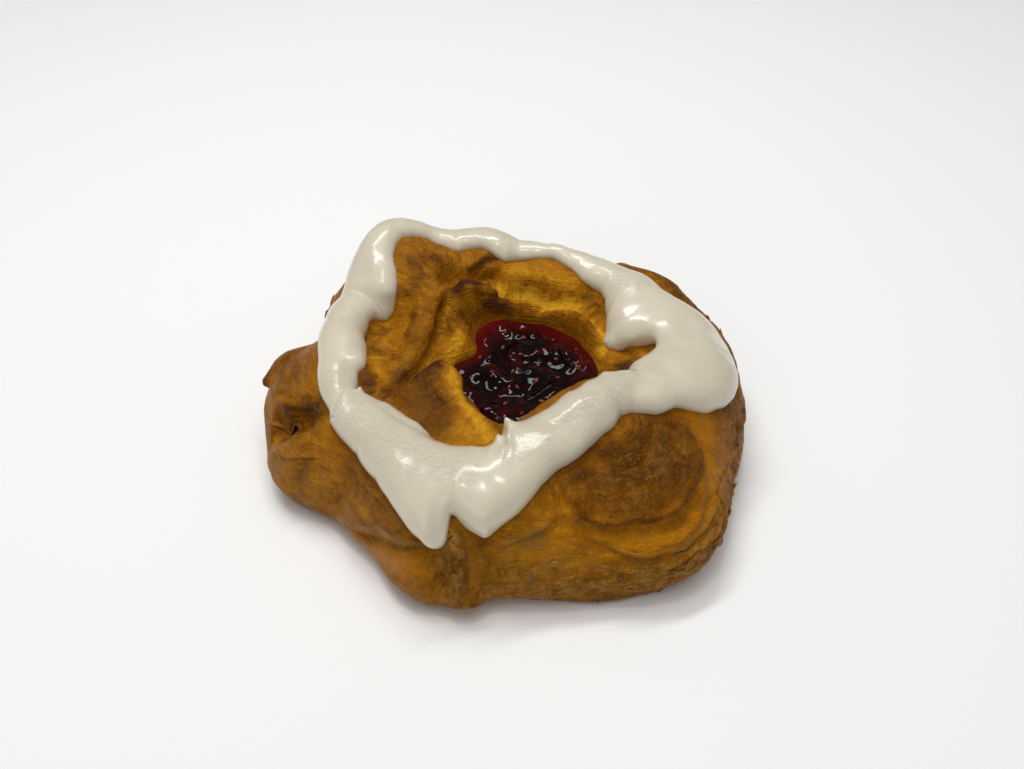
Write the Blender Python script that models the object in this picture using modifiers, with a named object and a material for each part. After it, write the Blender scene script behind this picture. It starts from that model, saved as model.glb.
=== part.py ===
"""A danish pastry: laminated dough folded round a well of jam, with a closed ring of thick icing.

Every place on it is given as an azimuth in degrees, a distance from the middle of the well and a
height above the table, both in millimetres. Azimuth 0 is +X, the right side, and 270 is the front.
"""
import bpy
import bmesh
import numpy as np
from mathutils import Vector
from mathutils.bvhtree import BVHTree

MM = 0.001
NAME = "danish_pastry"

# Driving dimensions, in millimetres.
WELL_CENTRE = (5.0, 5.8)
WELL_FLOOR = 13.0
JAM_LEVEL, JAM_TILT = 19.8, 1.8  # the jam lies higher at the back
ICING_HEIGHT = 3.2
ICING_SKIRT = 1.6
GAP = 0.5
TABLE_REACH = 0.35  # whatever comes this near the table lies on it

# How finely the solids are made: voxels in millimetres, and triangles.
DOUGH_VOXEL = 0.9
CUT_VOXEL = 0.7
TRIANGLES = {"dough": 5200, "icing": 3200, "jam": 1000, "cutter": 7000}

# Colour, roughness.
FINISHES = {
    "dough": ((0.47, 0.23, 0.06), 0.55),
    "icing": ((0.66, 0.62, 0.52), 0.3),
    "jam": ((0.07, 0.006, 0.008), 0.12),
}

# The dough is an oval with lobes. A lobe has an azimuth, a spread in degrees, and how far it reaches.
SIDE_RIGHT, SIDE_BACK, SIDE_FRONT = 52.0, 43.0, 53.0
BELLY, BELLY_TILT = 10.0, 2.0  # height of the widest part, and how much higher it is at the back
SIDE_LOBES = {  # azimuth, spread, outward, upward
    "back_right": (25, 22, 2.5, 3),
    "back_left_corner": (132, 36, 8, 1),
    "left": (150, 18, 2, 5),
    "tip": (180, 16, 7.5, 2.5),
    "under_the_tip": (198, 22, 9, -2),
    "front_left": (225, 30, 0, -2),
    "tongue": (248, 19, 5, -1.5),
    "front_right": (308, 28, 6.5, 1),
}
RIDGE, RIDGE_TOP = 38.0, 27.5
RIDGE_LOBES = {
    "back": (78, 60, -5, 4),
    "back_middle": (107, 17, 1.5, 3.2),
    "back_left_corner": (134, 26, 8.5, 8.5),
    "left": (170, 45, 5, 0),
    "front_left": (220, 55, 0, -3),
    "front": (286, 40, -8, 0.5),
    "front_right": (318, 36, -10, 1),
}
WELL, WELL_LIP, LIP_TILT = 17.5, 19.8, 0.8
WELL_LOBES = {
    "back": (92, 45, 3, 0),
    "left": (150, 25, -4, 0.5),
    "front_left": (215, 40, -2.5, 0),
}
# The icing is a band along the ridge, so far inside and outside it, with runs and drips.
ICING_INSIDE, ICING_OUTSIDE = 3.4, 4.0
RUNS_INWARD = {  # azimuth, spread, reach
    "into_the_well": (20, 34, 5),
    "tip_in_the_well": (21, 16, 8),
    "back_right": (38, 30, 5.5),
    "right_shoulder": (346, 24, 8),
    "back": (98, 12, 1.5),
    "back_left_corner": (128, 18, -1),
    "left": (148, 18, 5),
    "far_left": (178, 24, 2.5),
    "knuckle": (200, 10, -2.5),
    "front_left": (224, 16, 2),
    "front": (298, 56, 4),
}
RUNS_OUTWARD = {
    "back": (52, 40, -2.8),
    "back_left": (114, 18, 3),
    "left": (220, 40, 3.4),
    "front": (264, 34, 7),
    "left_drip": (246, 13, 7),
    "right_drip": (262, 9, 3),
    "right": (346, 36, 6.5),
    "back_right_edge": (10, 14, 2.5),
}

# Rolls of dough along a path: azimuth, distance, height, half width, half height.
ROLLS = {
    "strip": ((122, 34, 29, 5, 2.5), (140, 28, 28, 4.5, 3.2), (170, 26, 25, 3.5, 3), (202, 30, 22, 2, 2)),
    "small_fold": ((180, 30, 25, 1.6, 1.6), (192, 31, 21, 2.4, 2)),
    "knuckle": ((188, 37, 25, 2.5, 2.2), (194, 36, 24, 3.4, 2.8), (200, 34, 22, 3.2, 2.4)),
    "tip": ((171, 49, 17, 5, 3.6), (175, 56, 17, 4.5, 3.4), (178, 61, 15, 1.4, 1.4)),
    "curl": ((134, 26, 29, 1.4, 1.4), (124, 25, 30, 2.4, 1.8), (109, 21, 28, 1, 1)),
    "foot": ((268, 48, 2, 2.5, 1.8), (288, 51, 2, 3, 1.8), (302, 54, 2, 2.5, 1.8)),
    "pinch": ((249, 46, 21, 1.2, 2), (253, 49, 19, 2.5, 3), (255, 52, 12, 4, 3.5), (255, 54, 6, 5.5, 3.5)),
    "peak": ((279, 42, 22, 3, 1.2), (281, 46, 20, 1.8, 1.4), (284, 49, 17, 2.6, 0.8)),
    "back_rim": ((50, 37, 27, 4, 3), (35, 41, 26, 4.5, 3), (19, 45, 22, 3, 2.5)),
    "side_fold": ((350, 24, 22, 2.5, 1.5), (0, 29, 25, 3, 1.5)),
}
# Flaps of dough, each a bent sheet from its free edge to its foot: azimuth, distance, height.
FLAPS = {
    "petal": {
        "edge": ((162, 18.5, 21), (150, 20.5, 25), (138, 23.5, 28.5), (125, 25.5, 32), (108, 21.5, 27),
                 (76, 18, 23)),
        "foot": ((162, 17.5, 18), (115, 19, 18), (74, 18, 18)),
        "thickness": 2.0, "swell": 1.5,
    },
    "side_flap": {
        "edge": ((84, 18.5, 22), (60, 19, 26), (42, 19.5, 26.5), (20, 20, 24)),
        "foot": ((78, 19, 18), (46, 18, 18), (20, 18, 18)),
        "thickness": 2.2, "swell": 0.8,
    },
    "front_left": {
        "edge": ((206, 34, 25), (203, 27, 26), (193, 19.5, 27.5), (207, 16, 25.5), (229, 19.5, 25), (259, 26, 26)),
        "foot": ((206, 35, 24), (230, 33, 24), (254, 31, 24)),
        "thickness": 3.0, "swell": 0.8,
    },
    "front_right": {
        "edge": ((262, 27, 26), (280, 20, 28), (305, 18, 29), (334, 22, 27)),
        "foot": ((265, 34, 23), (295, 32, 25), (330, 32, 25)),
        "thickness": 3.6, "swell": 1.2,
    },
}
# Folds pressed into the dough: depth, half width, then azimuth, distance, height along it.
CREASES = {
    "behind_petal": (3.2, 2.6, ((136, 30, 30), (118, 27.5, 30), (98, 25, 27))),
    "behind_rim": (1.2, 2.4, ((98, 25, 27), (80, 23, 25), (60, 23, 25))),
    "behind_side_flap": (1.5, 3.5, ((65, 25, 26), (48, 25, 26), (30, 25, 25))),
    "left_valley": (3.4, 5.0, ((150, 36, 29), (168, 35, 27), (184, 33, 25))),
    "right_hole": (2.0, 3.0, ((12, 21, 22), (8, 26, 24), (4, 31, 26))),
    "hollow": (5.0, 2.8, ((192, 60, 13), (195.5, 55, 15.5), (198.5, 49.5, 18.5), (201, 46, 21))),
    "left_seam": (1.4, 1.8, ((220, 45, 21), (219, 51, 15), (214, 54, 4))),
    "beside_strip": (1.5, 1.6, ((134, 25.5, 30), (150, 22, 27), (168, 20.5, 23))),
    "above_left_flap": (1.4, 1.8, ((212, 33, 24), (198, 27, 24), (186, 21, 23))),
    "inner_crescent": (0.9, 1.5, ((288, 35, 27), (304, 42, 25), (320, 36, 27))),
    "left_of_pinch": (2.0, 2.6, ((244, 49, 19), (250, 53, 13), (252, 55, 5))),
    "right_of_pinch": (1.4, 3.0, ((258, 46, 21), (261, 50, 14), (262, 53, 6))),
    "back_seam": (1.5, 1.8, ((68, 38, 29), (73, 44, 15), (72, 44, 5))),
    "back_right_seam": (1.3, 1.6, ((25, 47, 20), (18, 51, 12), (18, 50, 4))),
}
# A layer's edge is a step: this much of its height stands up on one side, the rest sinks on the other.
STEP_UP, STEP_DOWN, STEP_WIDTH = 0.6, 0.4, 0.8
# Edges of layers of dough that end on the side, the inner or upper layer standing up: height, reach, places.
LAYERS = {
    "left_ledge": (1.8, 7, ((223, 54, 8), (236, 52, 15), (251, 53, 16))),
    "dome": (2.2, 8, ((277, 38, 26), (285, 47, 20), (304, 52, 19), (322, 47, 21), (328, 40, 25))),
    "band": (1.4, 5, ((279, 42, 23), (287, 50, 16), (302, 56, 14), (316, 53, 18), (324, 47, 21))),
    "lower_band": (0.8, 4, ((283, 51, 12), (299, 56, 13), (314, 56, 14))),
    "front_fold": (0.9, 5, ((262, 48, 18), (272, 48, 19), (281, 45, 21))),
    "tip_layer": (0.8, 3, ((184, 58, 17), (190, 53, 20), (196, 48, 23))),
    "back_left_layer": (1.4, 6, ((122, 51, 15), (145, 53, 17), (168, 52, 18))),
    "back_layer": (1.5, 7, ((34, 48, 18), (75, 41, 20), (116, 46, 20))),
    "right_layer": (1.2, 6, ((330, 52, 14), (0, 52, 15), (30, 50, 13))),
}


def lobed(azimuth, base, lobes, column=2):
    """A base value with what the lobes add to it at any azimuths; column is the lobe's value that counts."""
    value = base + np.zeros(len(azimuth))
    for lobe in lobes.values():
        from_middle = np.abs((azimuth - lobe[0] + 180) % 360 - 180) / lobe[1]
        value += lobe[column] * np.cos(np.pi / 2 * np.clip(from_middle, 0, 1)) ** 2
    return value


def side_at(azimuth):
    """Distance and height of the widest part of the dough."""
    angle = np.radians(azimuth)
    depth = np.where(np.sin(angle) > 0, SIDE_BACK, SIDE_FRONT)
    oval = 1 / np.hypot(np.cos(angle) / SIDE_RIGHT, np.sin(angle) / depth)
    belly = BELLY + BELLY_TILT * np.sin(angle)
    return lobed(azimuth, oval, SIDE_LOBES), lobed(azimuth, belly, SIDE_LOBES, 3)


def ridge_at(azimuth):
    """Distance and height of the ridge that runs round the well."""
    return lobed(azimuth, RIDGE, RIDGE_LOBES), lobed(azimuth, RIDGE_TOP, RIDGE_LOBES, 3)


def well_at(azimuth):
    """Distance and height of the edge of the well, where the jam begins."""
    lip = WELL_LIP + LIP_TILT * np.sin(np.radians(azimuth))
    return lobed(azimuth, WELL, WELL_LOBES), lobed(azimuth, lip, WELL_LOBES, 3)


def icing_edges(azimuth):
    """Distances of the inner and the outer edge of the icing."""
    ridge, _ = ridge_at(azimuth)
    inward, outward = lobed(azimuth, ICING_INSIDE, RUNS_INWARD), lobed(azimuth, ICING_OUTSIDE, RUNS_OUTWARD)
    return ridge - inward, ridge + outward


def spline(points, per_span):
    """A smooth curve through points of any number of columns."""
    points = np.asarray(points, float)
    points = np.concatenate([[2 * points[0] - points[1]], points, [2 * points[-1] - points[-2]]])
    t = np.linspace(0, 1, per_span, endpoint=False).reshape([-1] + [1] * (points.ndim - 1))
    spans = []
    for a, b, c, d in zip(points, points[1:], points[2:], points[3:]):
        spans.append(0.5 * (2 * b + (c - a) * t + (2 * a - 5 * b + 4 * c - d) * t**2
                            + (3 * b - a - 3 * c + d) * t**3))
    spans.append(points[-2:-1])
    return np.vstack(spans)


def evenly(points, count):
    """count points at even steps along the smooth curve through the given ones."""
    fine = spline(points, 12)
    steps = np.linalg.norm(np.diff(fine[:, :3], axis=0), axis=1)
    along = np.concatenate([[0], np.cumsum(steps)])
    at = np.linspace(0, along[-1], count)
    return np.stack([np.interp(at, along, column) for column in fine.T], axis=1)


def place(azimuth, distance, height):
    """Points in millimetres from azimuths, distances and heights."""
    angle = np.radians(azimuth)
    x = WELL_CENTRE[0] + distance * np.cos(angle)
    y = WELL_CENTRE[1] + distance * np.sin(angle)
    return np.stack(np.broadcast_arrays(x, y, height), axis=-1)


def places(rows):
    """Rows whose first three columns are azimuth, distance and height, as x, y, z and the rest."""
    rows = np.asarray(rows, float)
    return np.hstack([place(rows[:, 0], rows[:, 1], rows[:, 2]), rows[:, 3:]])


def mesh_object(name, points, faces):
    """A mesh object from points in millimetres, with its faces pointing out."""
    mesh = bpy.data.meshes.new(name)
    mesh.from_pydata((np.asarray(points) * MM).tolist(), [], faces)
    body = bmesh.new()
    body.from_mesh(mesh)
    bmesh.ops.recalc_face_normals(body, faces=body.faces)
    body.to_mesh(mesh)
    body.free()
    piece = bpy.data.objects.new(name, mesh)
    bpy.context.scene.collection.objects.link(piece)
    return piece


def skin(rows, columns):
    """Faces of a closed tube of rows, each of so many points, with a flat cap at both ends."""
    faces = []
    for i in range(rows - 1):
        for j in range(columns):
            k = (j + 1) % columns
            faces.append((i * columns + j, i * columns + k, (i + 1) * columns + k, (i + 1) * columns + j))
    faces.append(tuple(reversed(range(columns))))
    faces.append(tuple(range((rows - 1) * columns, rows * columns)))
    return faces


def body_of_dough(columns=240):
    """The folded dough without its flaps: a foot, a swelling side, a ridge and the well inside it."""
    azimuth = np.linspace(0, 360, columns, endpoint=False)
    side, belly = side_at(azimuth)
    ridge, top = ridge_at(azimuth)
    edge, lip = well_at(azimuth)
    none = np.zeros(columns)
    profile = (
        (none + 0.5, none),
        (side - 7, none),
        (side - 4.2, none + 0.3),
        (side - 1.6, 0.32 * belly),
        (side - 0.2, 0.8 * belly),
        (side - 0.2, 1.2 * belly),
        (0.82 * side + 0.18 * ridge, 0.5 * belly + 0.5 * top),
        (0.55 * side + 0.45 * ridge, 0.84 * top),
        (0.25 * side + 0.75 * ridge, 0.965 * top),
        (ridge, top),
        (0.75 * ridge + 0.25 * edge, 0.97 * top + 0.03 * lip),
        (0.4 * ridge + 0.6 * edge, 0.72 * top + 0.28 * lip),
        (0.12 * ridge + 0.88 * edge, 0.3 * top + 0.7 * lip),
        (edge, lip),
        (edge - 1.2, lip - 2.5),
        (edge - 3.5, none + WELL_FLOOR),
        (none + 0.5, none + WELL_FLOOR),
    )
    loops = spline(np.array(profile), 6)
    distance, height = loops[:, 0], np.maximum(loops[:, 1], 0)
    points = place(azimuth[None], distance, height).reshape(-1, 3)
    return mesh_object("body_of_dough", points, skin(len(loops), columns))


def roll_of_dough(name, stations, sides=20):
    """A fold like a rolled rope, an elliptical tube with round ends."""
    rows = spline(places(stations), 10)
    middle, width, height = rows[:, :3], rows[:, 3], rows[:, 4]
    forward = np.gradient(middle, axis=0)
    forward /= np.linalg.norm(forward, axis=1)[:, None]
    across = np.cross(forward, (0, 0, 1))
    across /= np.linalg.norm(across, axis=1)[:, None]
    upward = np.cross(across, forward)
    turn = np.linspace(0, 2 * np.pi, sides, endpoint=False)[:, None]

    def ring(i, shrink, shift):
        return (middle[i] + shift * forward[i]
                + shrink * (np.cos(turn) * width[i] * across[i] + np.sin(turn) * height[i] * upward[i]))

    rings = [ring(i, 1, 0) for i in range(len(rows))]
    for angle in np.radians((15, 30, 45, 60, 75, 86)):
        shift = np.sin(angle)
        rings.insert(0, ring(0, np.cos(angle), -shift * min(width[0], height[0])))
        rings.append(ring(-1, np.cos(angle), shift * min(width[-1], height[-1])))
    return mesh_object(name, np.vstack(rings), skin(len(rings), sides))


def flap_of_dough(name, edge, foot, thickness, swell, columns=36, rows=14):
    """A bent sheet between its free edge and its foot, with round rims, as one closed shell."""
    edge, foot = evenly(places(edge), columns), evenly(places(foot), columns)
    down = np.linspace(0, 1, rows)[:, None, None]
    sheet = edge * (1 - down) + foot * down
    sheet[..., 2] += swell * np.sin(np.pi * down[..., 0])
    normal = np.cross(np.gradient(sheet, axis=1), np.gradient(sheet, axis=0))
    normal /= np.linalg.norm(normal, axis=-1, keepdims=True)
    normal *= np.sign(normal[..., 2].mean())
    sideways = np.linspace(0, 1, columns)[None]
    from_end = np.clip(np.minimum(sideways, 1 - sideways) / 0.12, 0, 1)
    from_rim = np.clip(down[..., 0] / 0.16, 0, 1)
    round_end = np.sqrt(np.clip(1 - (1 - from_end) ** 2, 0.02, 1))
    round_rim = np.sqrt(np.clip(1 - (1 - from_rim) ** 2, 0.02, 1))
    half = (thickness / 2 * round_end * round_rim)[..., None] * normal
    tube = np.concatenate([sheet + half, (sheet - half)[::-1]])
    points = tube.transpose(1, 0, 2).reshape(-1, 3)
    return mesh_object(name, points, skin(columns, 2 * rows))


def one_skin(name, shapes, voxel):
    """The shapes as one closed smooth skin."""
    body = bmesh.new()
    for shape in shapes:
        body.from_mesh(shape.data)
        bpy.data.objects.remove(shape)
    mesh = bpy.data.meshes.new(name)
    body.to_mesh(mesh)
    body.free()
    piece = bpy.data.objects.new(name, mesh)
    bpy.context.scene.collection.objects.link(piece)
    remesh(piece, voxel)
    smooth = piece.modifiers.new("soft joints", "SMOOTH")
    smooth.factor = 0.5
    smooth.iterations = 4
    bake(piece)
    return piece


def bake(piece):
    """Put what the modifiers make into the mesh."""
    graph = bpy.context.evaluated_depsgraph_get()
    mesh = bpy.data.meshes.new_from_object(piece.evaluated_get(graph))
    piece.modifiers.clear()
    piece.data = mesh


def points_of(mesh):
    flat = np.empty(3 * len(mesh.vertices))
    mesh.vertices.foreach_get("co", flat)
    return flat.reshape(-1, 3) / MM


def normals_of(mesh):
    flat = np.empty(3 * len(mesh.vertices))
    mesh.vertex_normals.foreach_get("vector", flat)
    return flat.reshape(-1, 3)


def near_line(points, normals, tree, path, reach):
    """Points within reach of a line on the skin: which, how far to its left, and how far from its ends."""
    line = evenly(places(path), 60)
    line = np.array([tree.find_nearest(Vector(p))[0] for p in line])
    low, high = line.min(axis=0) - reach, line.max(axis=0) + reach
    which = np.flatnonzero(((points > low) & (points < high)).all(axis=1))
    offset = points[which][:, None] - line[None]
    nearest = np.linalg.norm(offset, axis=2).argmin(axis=1)
    ahead = np.gradient(line, axis=0)
    ahead /= np.linalg.norm(ahead, axis=1)[:, None] + 1e-9
    left = np.cross(normals[which], ahead[nearest])
    from_line = offset[np.arange(len(which)), nearest]
    side = (from_line * left).sum(axis=1)
    far = np.linalg.norm(from_line, axis=1)
    side = np.where(side < 0, -far, far)
    share = nearest / (len(line) - 1)
    fade = np.sin(np.pi * np.clip(np.minimum(share, 1 - share) / 0.3, 0, 1) / 2)
    keep = far < reach
    return which[keep], side[keep], fade[keep]


def press_folds(piece):
    """Press the creases into the dough and raise the edges of its layers."""
    points, normals = points_of(piece.data), normals_of(piece.data)
    tree = BVHTree.FromPolygons(points.tolist(), [tuple(p.vertices) for p in piece.data.polygons])
    push = np.zeros(len(points))
    for depth, width, path in CREASES.values():
        which, side, fade = near_line(points, normals, tree, path, 2.5 * width)
        push[which] -= depth * fade * np.exp(-((side / width) ** 2))
    for height, reach, path in LAYERS.values():
        which, side, fade = near_line(points, normals, tree, path, reach)
        raised = np.clip(1 - np.abs(side) / reach, 0, 1) ** 1.5 * np.clip(np.abs(side) / STEP_WIDTH, 0, 1)
        push[which] += height * fade * raised * np.where(side > 0, STEP_UP, -STEP_DOWN)
    points = points + normals * push[:, None]
    points[:, 2] = np.where(points[:, 2] < TABLE_REACH, 0, points[:, 2])
    piece.data.vertices.foreach_set("co", (points * MM).ravel())
    piece.data.update()


def dough(voxel):
    """The laminated dough with its flaps and folds."""
    shapes = [body_of_dough()]
    for name, stations in ROLLS.items():
        shapes.append(roll_of_dough(name, stations))
    for name, flap in FLAPS.items():
        shapes.append(flap_of_dough(name, **flap))
    piece = one_skin("dough", shapes, voxel)
    press_folds(piece)
    return piece


def surface_reader(piece):
    """A function that gives the height and the normal of a piece's upper surface, seen from above."""
    points = points_of(piece.data)
    tree = BVHTree.FromPolygons(points.tolist(), [tuple(p.vertices) for p in piece.data.polygons])

    def read(places_from_above):
        heights, normals = [], []
        for x, y in places_from_above:
            place_hit, normal, _, _ = tree.ray_cast(Vector((x, y, 100)), Vector((0, 0, -1)))
            heights.append(place_hit.z if place_hit else 0.0)
            normals.append(tuple(normal) if place_hit else (0.0, 0.0, 1.0))
        return np.array(heights), np.array(normals)

    return read


def soften(values, rounds):
    """Values on a grid closed along its first axis, evened out with their neighbours."""
    for _ in range(rounds):
        padded = np.concatenate([values[:, :1], values, values[:, -1:]], axis=1)
        values = (
            0.4 * values
            + 0.15 * (np.roll(values, 1, axis=0) + np.roll(values, -1, axis=0))
            + 0.15 * (padded[:, :-2] + padded[:, 2:])
        )
    return values


def icing_over(base, columns, across):
    """A closed ring of icing that lies on the base, round in section and sunk into it by the skirt."""
    azimuth = np.linspace(0, 360, columns, endpoint=False)
    inner, outer = icing_edges(azimuth)
    lean = -np.cos(np.linspace(0, np.pi, across))
    share = (lean + 1) / 2
    distance = inner[:, None] + (outer - inner)[:, None] * share
    spots = place(azimuth[:, None], distance, 0)[..., :2]
    heights, normals = surface_reader(base)(spots.reshape(-1, 2))
    heights = soften(heights.reshape(columns, across, 1), 3)[..., 0]
    normals = soften(normals.reshape(columns, across, 3), 6)
    normals /= np.linalg.norm(normals, axis=-1, keepdims=True)
    ground = np.dstack([spots, heights])
    section = np.sqrt(np.clip(1 - lean**2, 0, 1)) ** 0.8
    width = (outer - inner)[:, None]
    height = ICING_HEIGHT * np.clip(width / 10, 0.75, 1.15)
    top = ground + normals * (height * section)[..., None]
    bottom = ground - normals * (ICING_SKIRT * np.sqrt(section))[..., None]
    ring = np.concatenate([top, bottom[:, -2:0:-1]], axis=1)
    rows = ring.shape[1]
    faces = []
    for i in range(columns):
        for j in range(rows):
            a, b = i * rows + j, i * rows + (j + 1) % rows
            c, d = (i + 1) % columns * rows + (j + 1) % rows, (i + 1) % columns * rows + j
            faces.append((a, b, c, d))
    return mesh_object("icing", ring.reshape(-1, 3), faces)


def jam_pool(columns=72):
    """The jam: a low uneven pool in the well."""
    azimuth = np.linspace(0, 360, columns, endpoint=False)
    edge, _ = well_at(azimuth)
    loops = []
    for share, level in ((0.02, 0), (0.25, 0), (0.5, 0.1), (0.75, 0), (0.95, -0.2), (1.12, -0.6)):
        wave = 0.5 * np.sin(3 * np.radians(azimuth) + 9 * share) * min(1, 4 * share)
        tilt = JAM_TILT * share * np.sin(np.radians(azimuth))
        loops.append(place(azimuth, share * edge, JAM_LEVEL + level + wave + tilt))
    loops.append(place(azimuth, 1.02 * edge, WELL_FLOOR))
    loops.append(place(azimuth, 0.5 * edge, WELL_FLOOR - 1.5))
    loops.append(place(azimuth, 0.02 * edge, WELL_FLOOR - 1.5))
    return mesh_object("jam", np.vstack(loops), skin(len(loops), columns))


def remesh(piece, voxel):
    """Add a voxel remesh, which makes one closed skin of whatever the piece holds."""
    skin_maker = piece.modifiers.new("one skin", "REMESH")
    skin_maker.mode = "VOXEL"
    skin_maker.voxel_size = voxel * MM


def grown(piece):
    """A cutter with the shape of a piece, larger by the gap all over."""
    cutter = bpy.data.objects.new(piece.name + "_cutter", piece.data.copy())
    bpy.context.scene.collection.objects.link(cutter)
    swell = cutter.modifiers.new("gap", "DISPLACE")
    swell.strength = GAP * MM
    swell.mid_level = 0
    remesh(cutter, CUT_VOXEL)
    bake(cutter)
    return cutter


def thin_out(piece, triangles):
    """Fewer triangles, where the surface is nearly flat."""
    piece.data.calc_loop_triangles()
    decimate = piece.modifiers.new("fewer faces", "DECIMATE")
    decimate.ratio = min(1.0, triangles / len(piece.data.loop_triangles))
    bake(piece)


def seat(piece):
    """Set the underside flat on the table."""
    points = points_of(piece.data)
    points[points[:, 2] < TABLE_REACH, 2] = 0
    piece.data.vertices.foreach_set("co", (points * MM).ravel())
    piece.data.update()


def cut_away(piece, cutter):
    """Cut a piece to lie on its neighbour, and drop the scraps that this leaves."""
    cut = piece.modifiers.new("lies on the dough", "BOOLEAN")
    cut.operation = "DIFFERENCE"
    cut.solver = "EXACT"
    cut.object = cutter
    remesh(piece, CUT_VOXEL)
    bake(piece)
    body = bmesh.new()
    body.from_mesh(piece.data)
    left = set(body.faces)
    islands = []
    while left:
        front = [left.pop()]
        island = list(front)
        while front:
            near = {face for edge in front.pop().edges for face in edge.link_faces} & left
            left -= near
            front.extend(near)
            island.extend(near)
        islands.append(island)
    keep = set(max(islands, key=len))
    bmesh.ops.delete(body, geom=[face for face in body.faces if face not in keep], context="FACES")
    body.to_mesh(piece.data)
    body.free()


def finish(piece, collection):
    """Give a piece its material and its place in the collection."""
    colour, roughness = FINISHES[piece.name]
    material = bpy.data.materials.new(piece.name)
    material.use_nodes = True
    shader = material.node_tree.nodes["Principled BSDF"]
    shader.inputs["Base Color"].default_value = (*colour, 1)
    shader.inputs["Roughness"].default_value = roughness
    piece.data.materials.clear()
    piece.data.materials.append(material)
    for other in list(piece.users_collection):
        other.objects.unlink(piece)
    collection.objects.link(piece)


def main():
    for old in list(bpy.data.objects):
        bpy.data.objects.remove(old)
    collection = bpy.data.collections.new(NAME)
    bpy.context.scene.collection.children.link(collection)

    bun = dough(DOUGH_VOXEL)
    thin_out(bun, TRIANGLES["dough"])
    seat(bun)
    cutter = grown(bun)
    thin_out(cutter, TRIANGLES["cutter"])
    pieces = [icing_over(bun, columns=110, across=8), jam_pool(columns=48)]
    for piece in pieces:
        cut_away(piece, cutter)
        thin_out(piece, TRIANGLES[piece.name])
    bpy.data.objects.remove(cutter)
    for piece in [bun, *pieces]:
        finish(piece, collection)


if __name__ == "__main__":
    main()
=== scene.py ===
"""Finished looks of a danish pastry: browned flaky dough, thick white icing and glossy jam with seeds.

Every place on it is given as an azimuth in degrees, a distance from the middle of the well and a
height above the table, both in millimetres. Azimuth 0 is +X, the right side, and 270 is the front.
"""

import bpy
import bmesh
import numpy as np
from bpy.props import FloatProperty, FloatVectorProperty, IntProperty, PointerProperty
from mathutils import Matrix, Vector, noise
from mathutils.bvhtree import BVHTree
from mathutils.kdtree import KDTree


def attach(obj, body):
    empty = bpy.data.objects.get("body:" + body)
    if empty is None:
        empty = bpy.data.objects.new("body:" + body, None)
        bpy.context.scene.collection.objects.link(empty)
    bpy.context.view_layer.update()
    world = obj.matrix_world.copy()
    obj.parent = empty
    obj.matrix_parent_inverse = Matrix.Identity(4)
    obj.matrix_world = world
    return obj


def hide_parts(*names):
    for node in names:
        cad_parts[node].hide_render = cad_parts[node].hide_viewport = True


bl_info = {
    "name": "Danish Pastry",
    "version": (1, 0, 0),
    "blender": (4, 5, 0),
    "location": "View3D > Sidebar > Danish",
    "description": "Makes the crust, icing and jam of a danish pastry on its solid model",
    "category": "Object",
}

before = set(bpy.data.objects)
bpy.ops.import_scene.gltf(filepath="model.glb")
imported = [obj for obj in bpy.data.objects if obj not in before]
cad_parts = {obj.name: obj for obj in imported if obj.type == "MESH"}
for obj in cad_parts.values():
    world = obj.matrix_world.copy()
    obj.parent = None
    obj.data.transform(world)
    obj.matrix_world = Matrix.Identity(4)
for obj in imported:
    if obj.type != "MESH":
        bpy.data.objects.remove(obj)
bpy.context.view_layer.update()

MM = 0.001
FULL_TURN = 6.283
WELL_CENTRE = (5.0, 5.8)
WELL_FLOOR = 13.0
JAM_LEVEL, JAM_TILT = 19.8, 1.8
LEAVES_LOWEST, FLAKES_LOWEST = 0.1, 0.02  # above the table
ICING_HEIGHT = 3.4
ICING_SKIRT = 1.6  # how far the icing reaches into the crust
ICING_RIPPLES = ((0.15, 11, 0), (0.12, 23, 60))  # of its edges: height, how many round the ring, degrees
ICING_WAVES = ((0.2, 9, 11, 1), (0.03, 2.6, 12, 2))  # height, size, seed, detail
JAM_WAVES = ((0.35, 5.5, 21, 1), (0.2, 2.2, 23, 1))
CAP_ANGLES = (15, 30, 45, 60, 75, 86)  # of the rings that round the ends of a roll
FLAP_END, FLAP_RIM = 0.12, 0.16  # shares of a flap over which its ends and its free edge are rounded
LEAF_STEP = 0.45  # between the columns of a thin leaf
SKIN_ROUNDS = 4  # rounds of smoothing where rolls and flaps join
SKIN_WAVES, SKIN_WRINKLES = (0.35, 0.16), 0.35  # heights of its broad and small waves, and of its wrinkles
TABLE_REACH = 0.35  # height under which the crust lies flat on the table

# The stage. Only the camera's aim is in millimetres.
CAMERA_AIM = (2.30, 4.80, 17.0)
LENS, SENSOR, NEAREST = 36.0, 36.0, 0.005
LIGHTS_AIM = (0, 0, 0.02)
FLOOR_HALF = 3.0
ROOM_COLOUR = (1.0, 0.995, 0.98, 1)

# The form of the dough, as the solid model has it, with a small lip over the hollow at its left corner.
SIDE_RIGHT, SIDE_BACK, SIDE_FRONT = 52.0, 43.0, 53.0
BELLY, BELLY_TILT = 10.0, 2.0
SIDE_LOBES = {  # azimuth, spread, outward, upward
    "back_right": (25, 22, 2.5, 3),
    "back_left_corner": (132, 36, 8, 1),
    "left": (150, 18, 2, 5),
    "tip": (180, 16, 7.5, 2.5),
    "under_the_tip": (198, 22, 9, -2),
    "front_left": (225, 30, 0, -2),
    "tongue": (248, 19, 5, -1.5),
    "front_right": (308, 28, 6.5, 1),
}
RIDGE, RIDGE_TOP = 38.0, 27.5
RIDGE_LOBES = {
    "back": (78, 60, -5, 4),
    "back_middle": (107, 17, 1.5, 3.2),
    "back_left_corner": (134, 26, 8.5, 8.5),
    "left": (170, 45, 5, 0),
    "front_left": (220, 55, 0, -3),
    "front": (286, 40, -8, 0.5),
    "front_right": (318, 36, -10, 1),
}
WELL, WELL_LIP, LIP_TILT = 17.5, 19.8, 0.8
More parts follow.
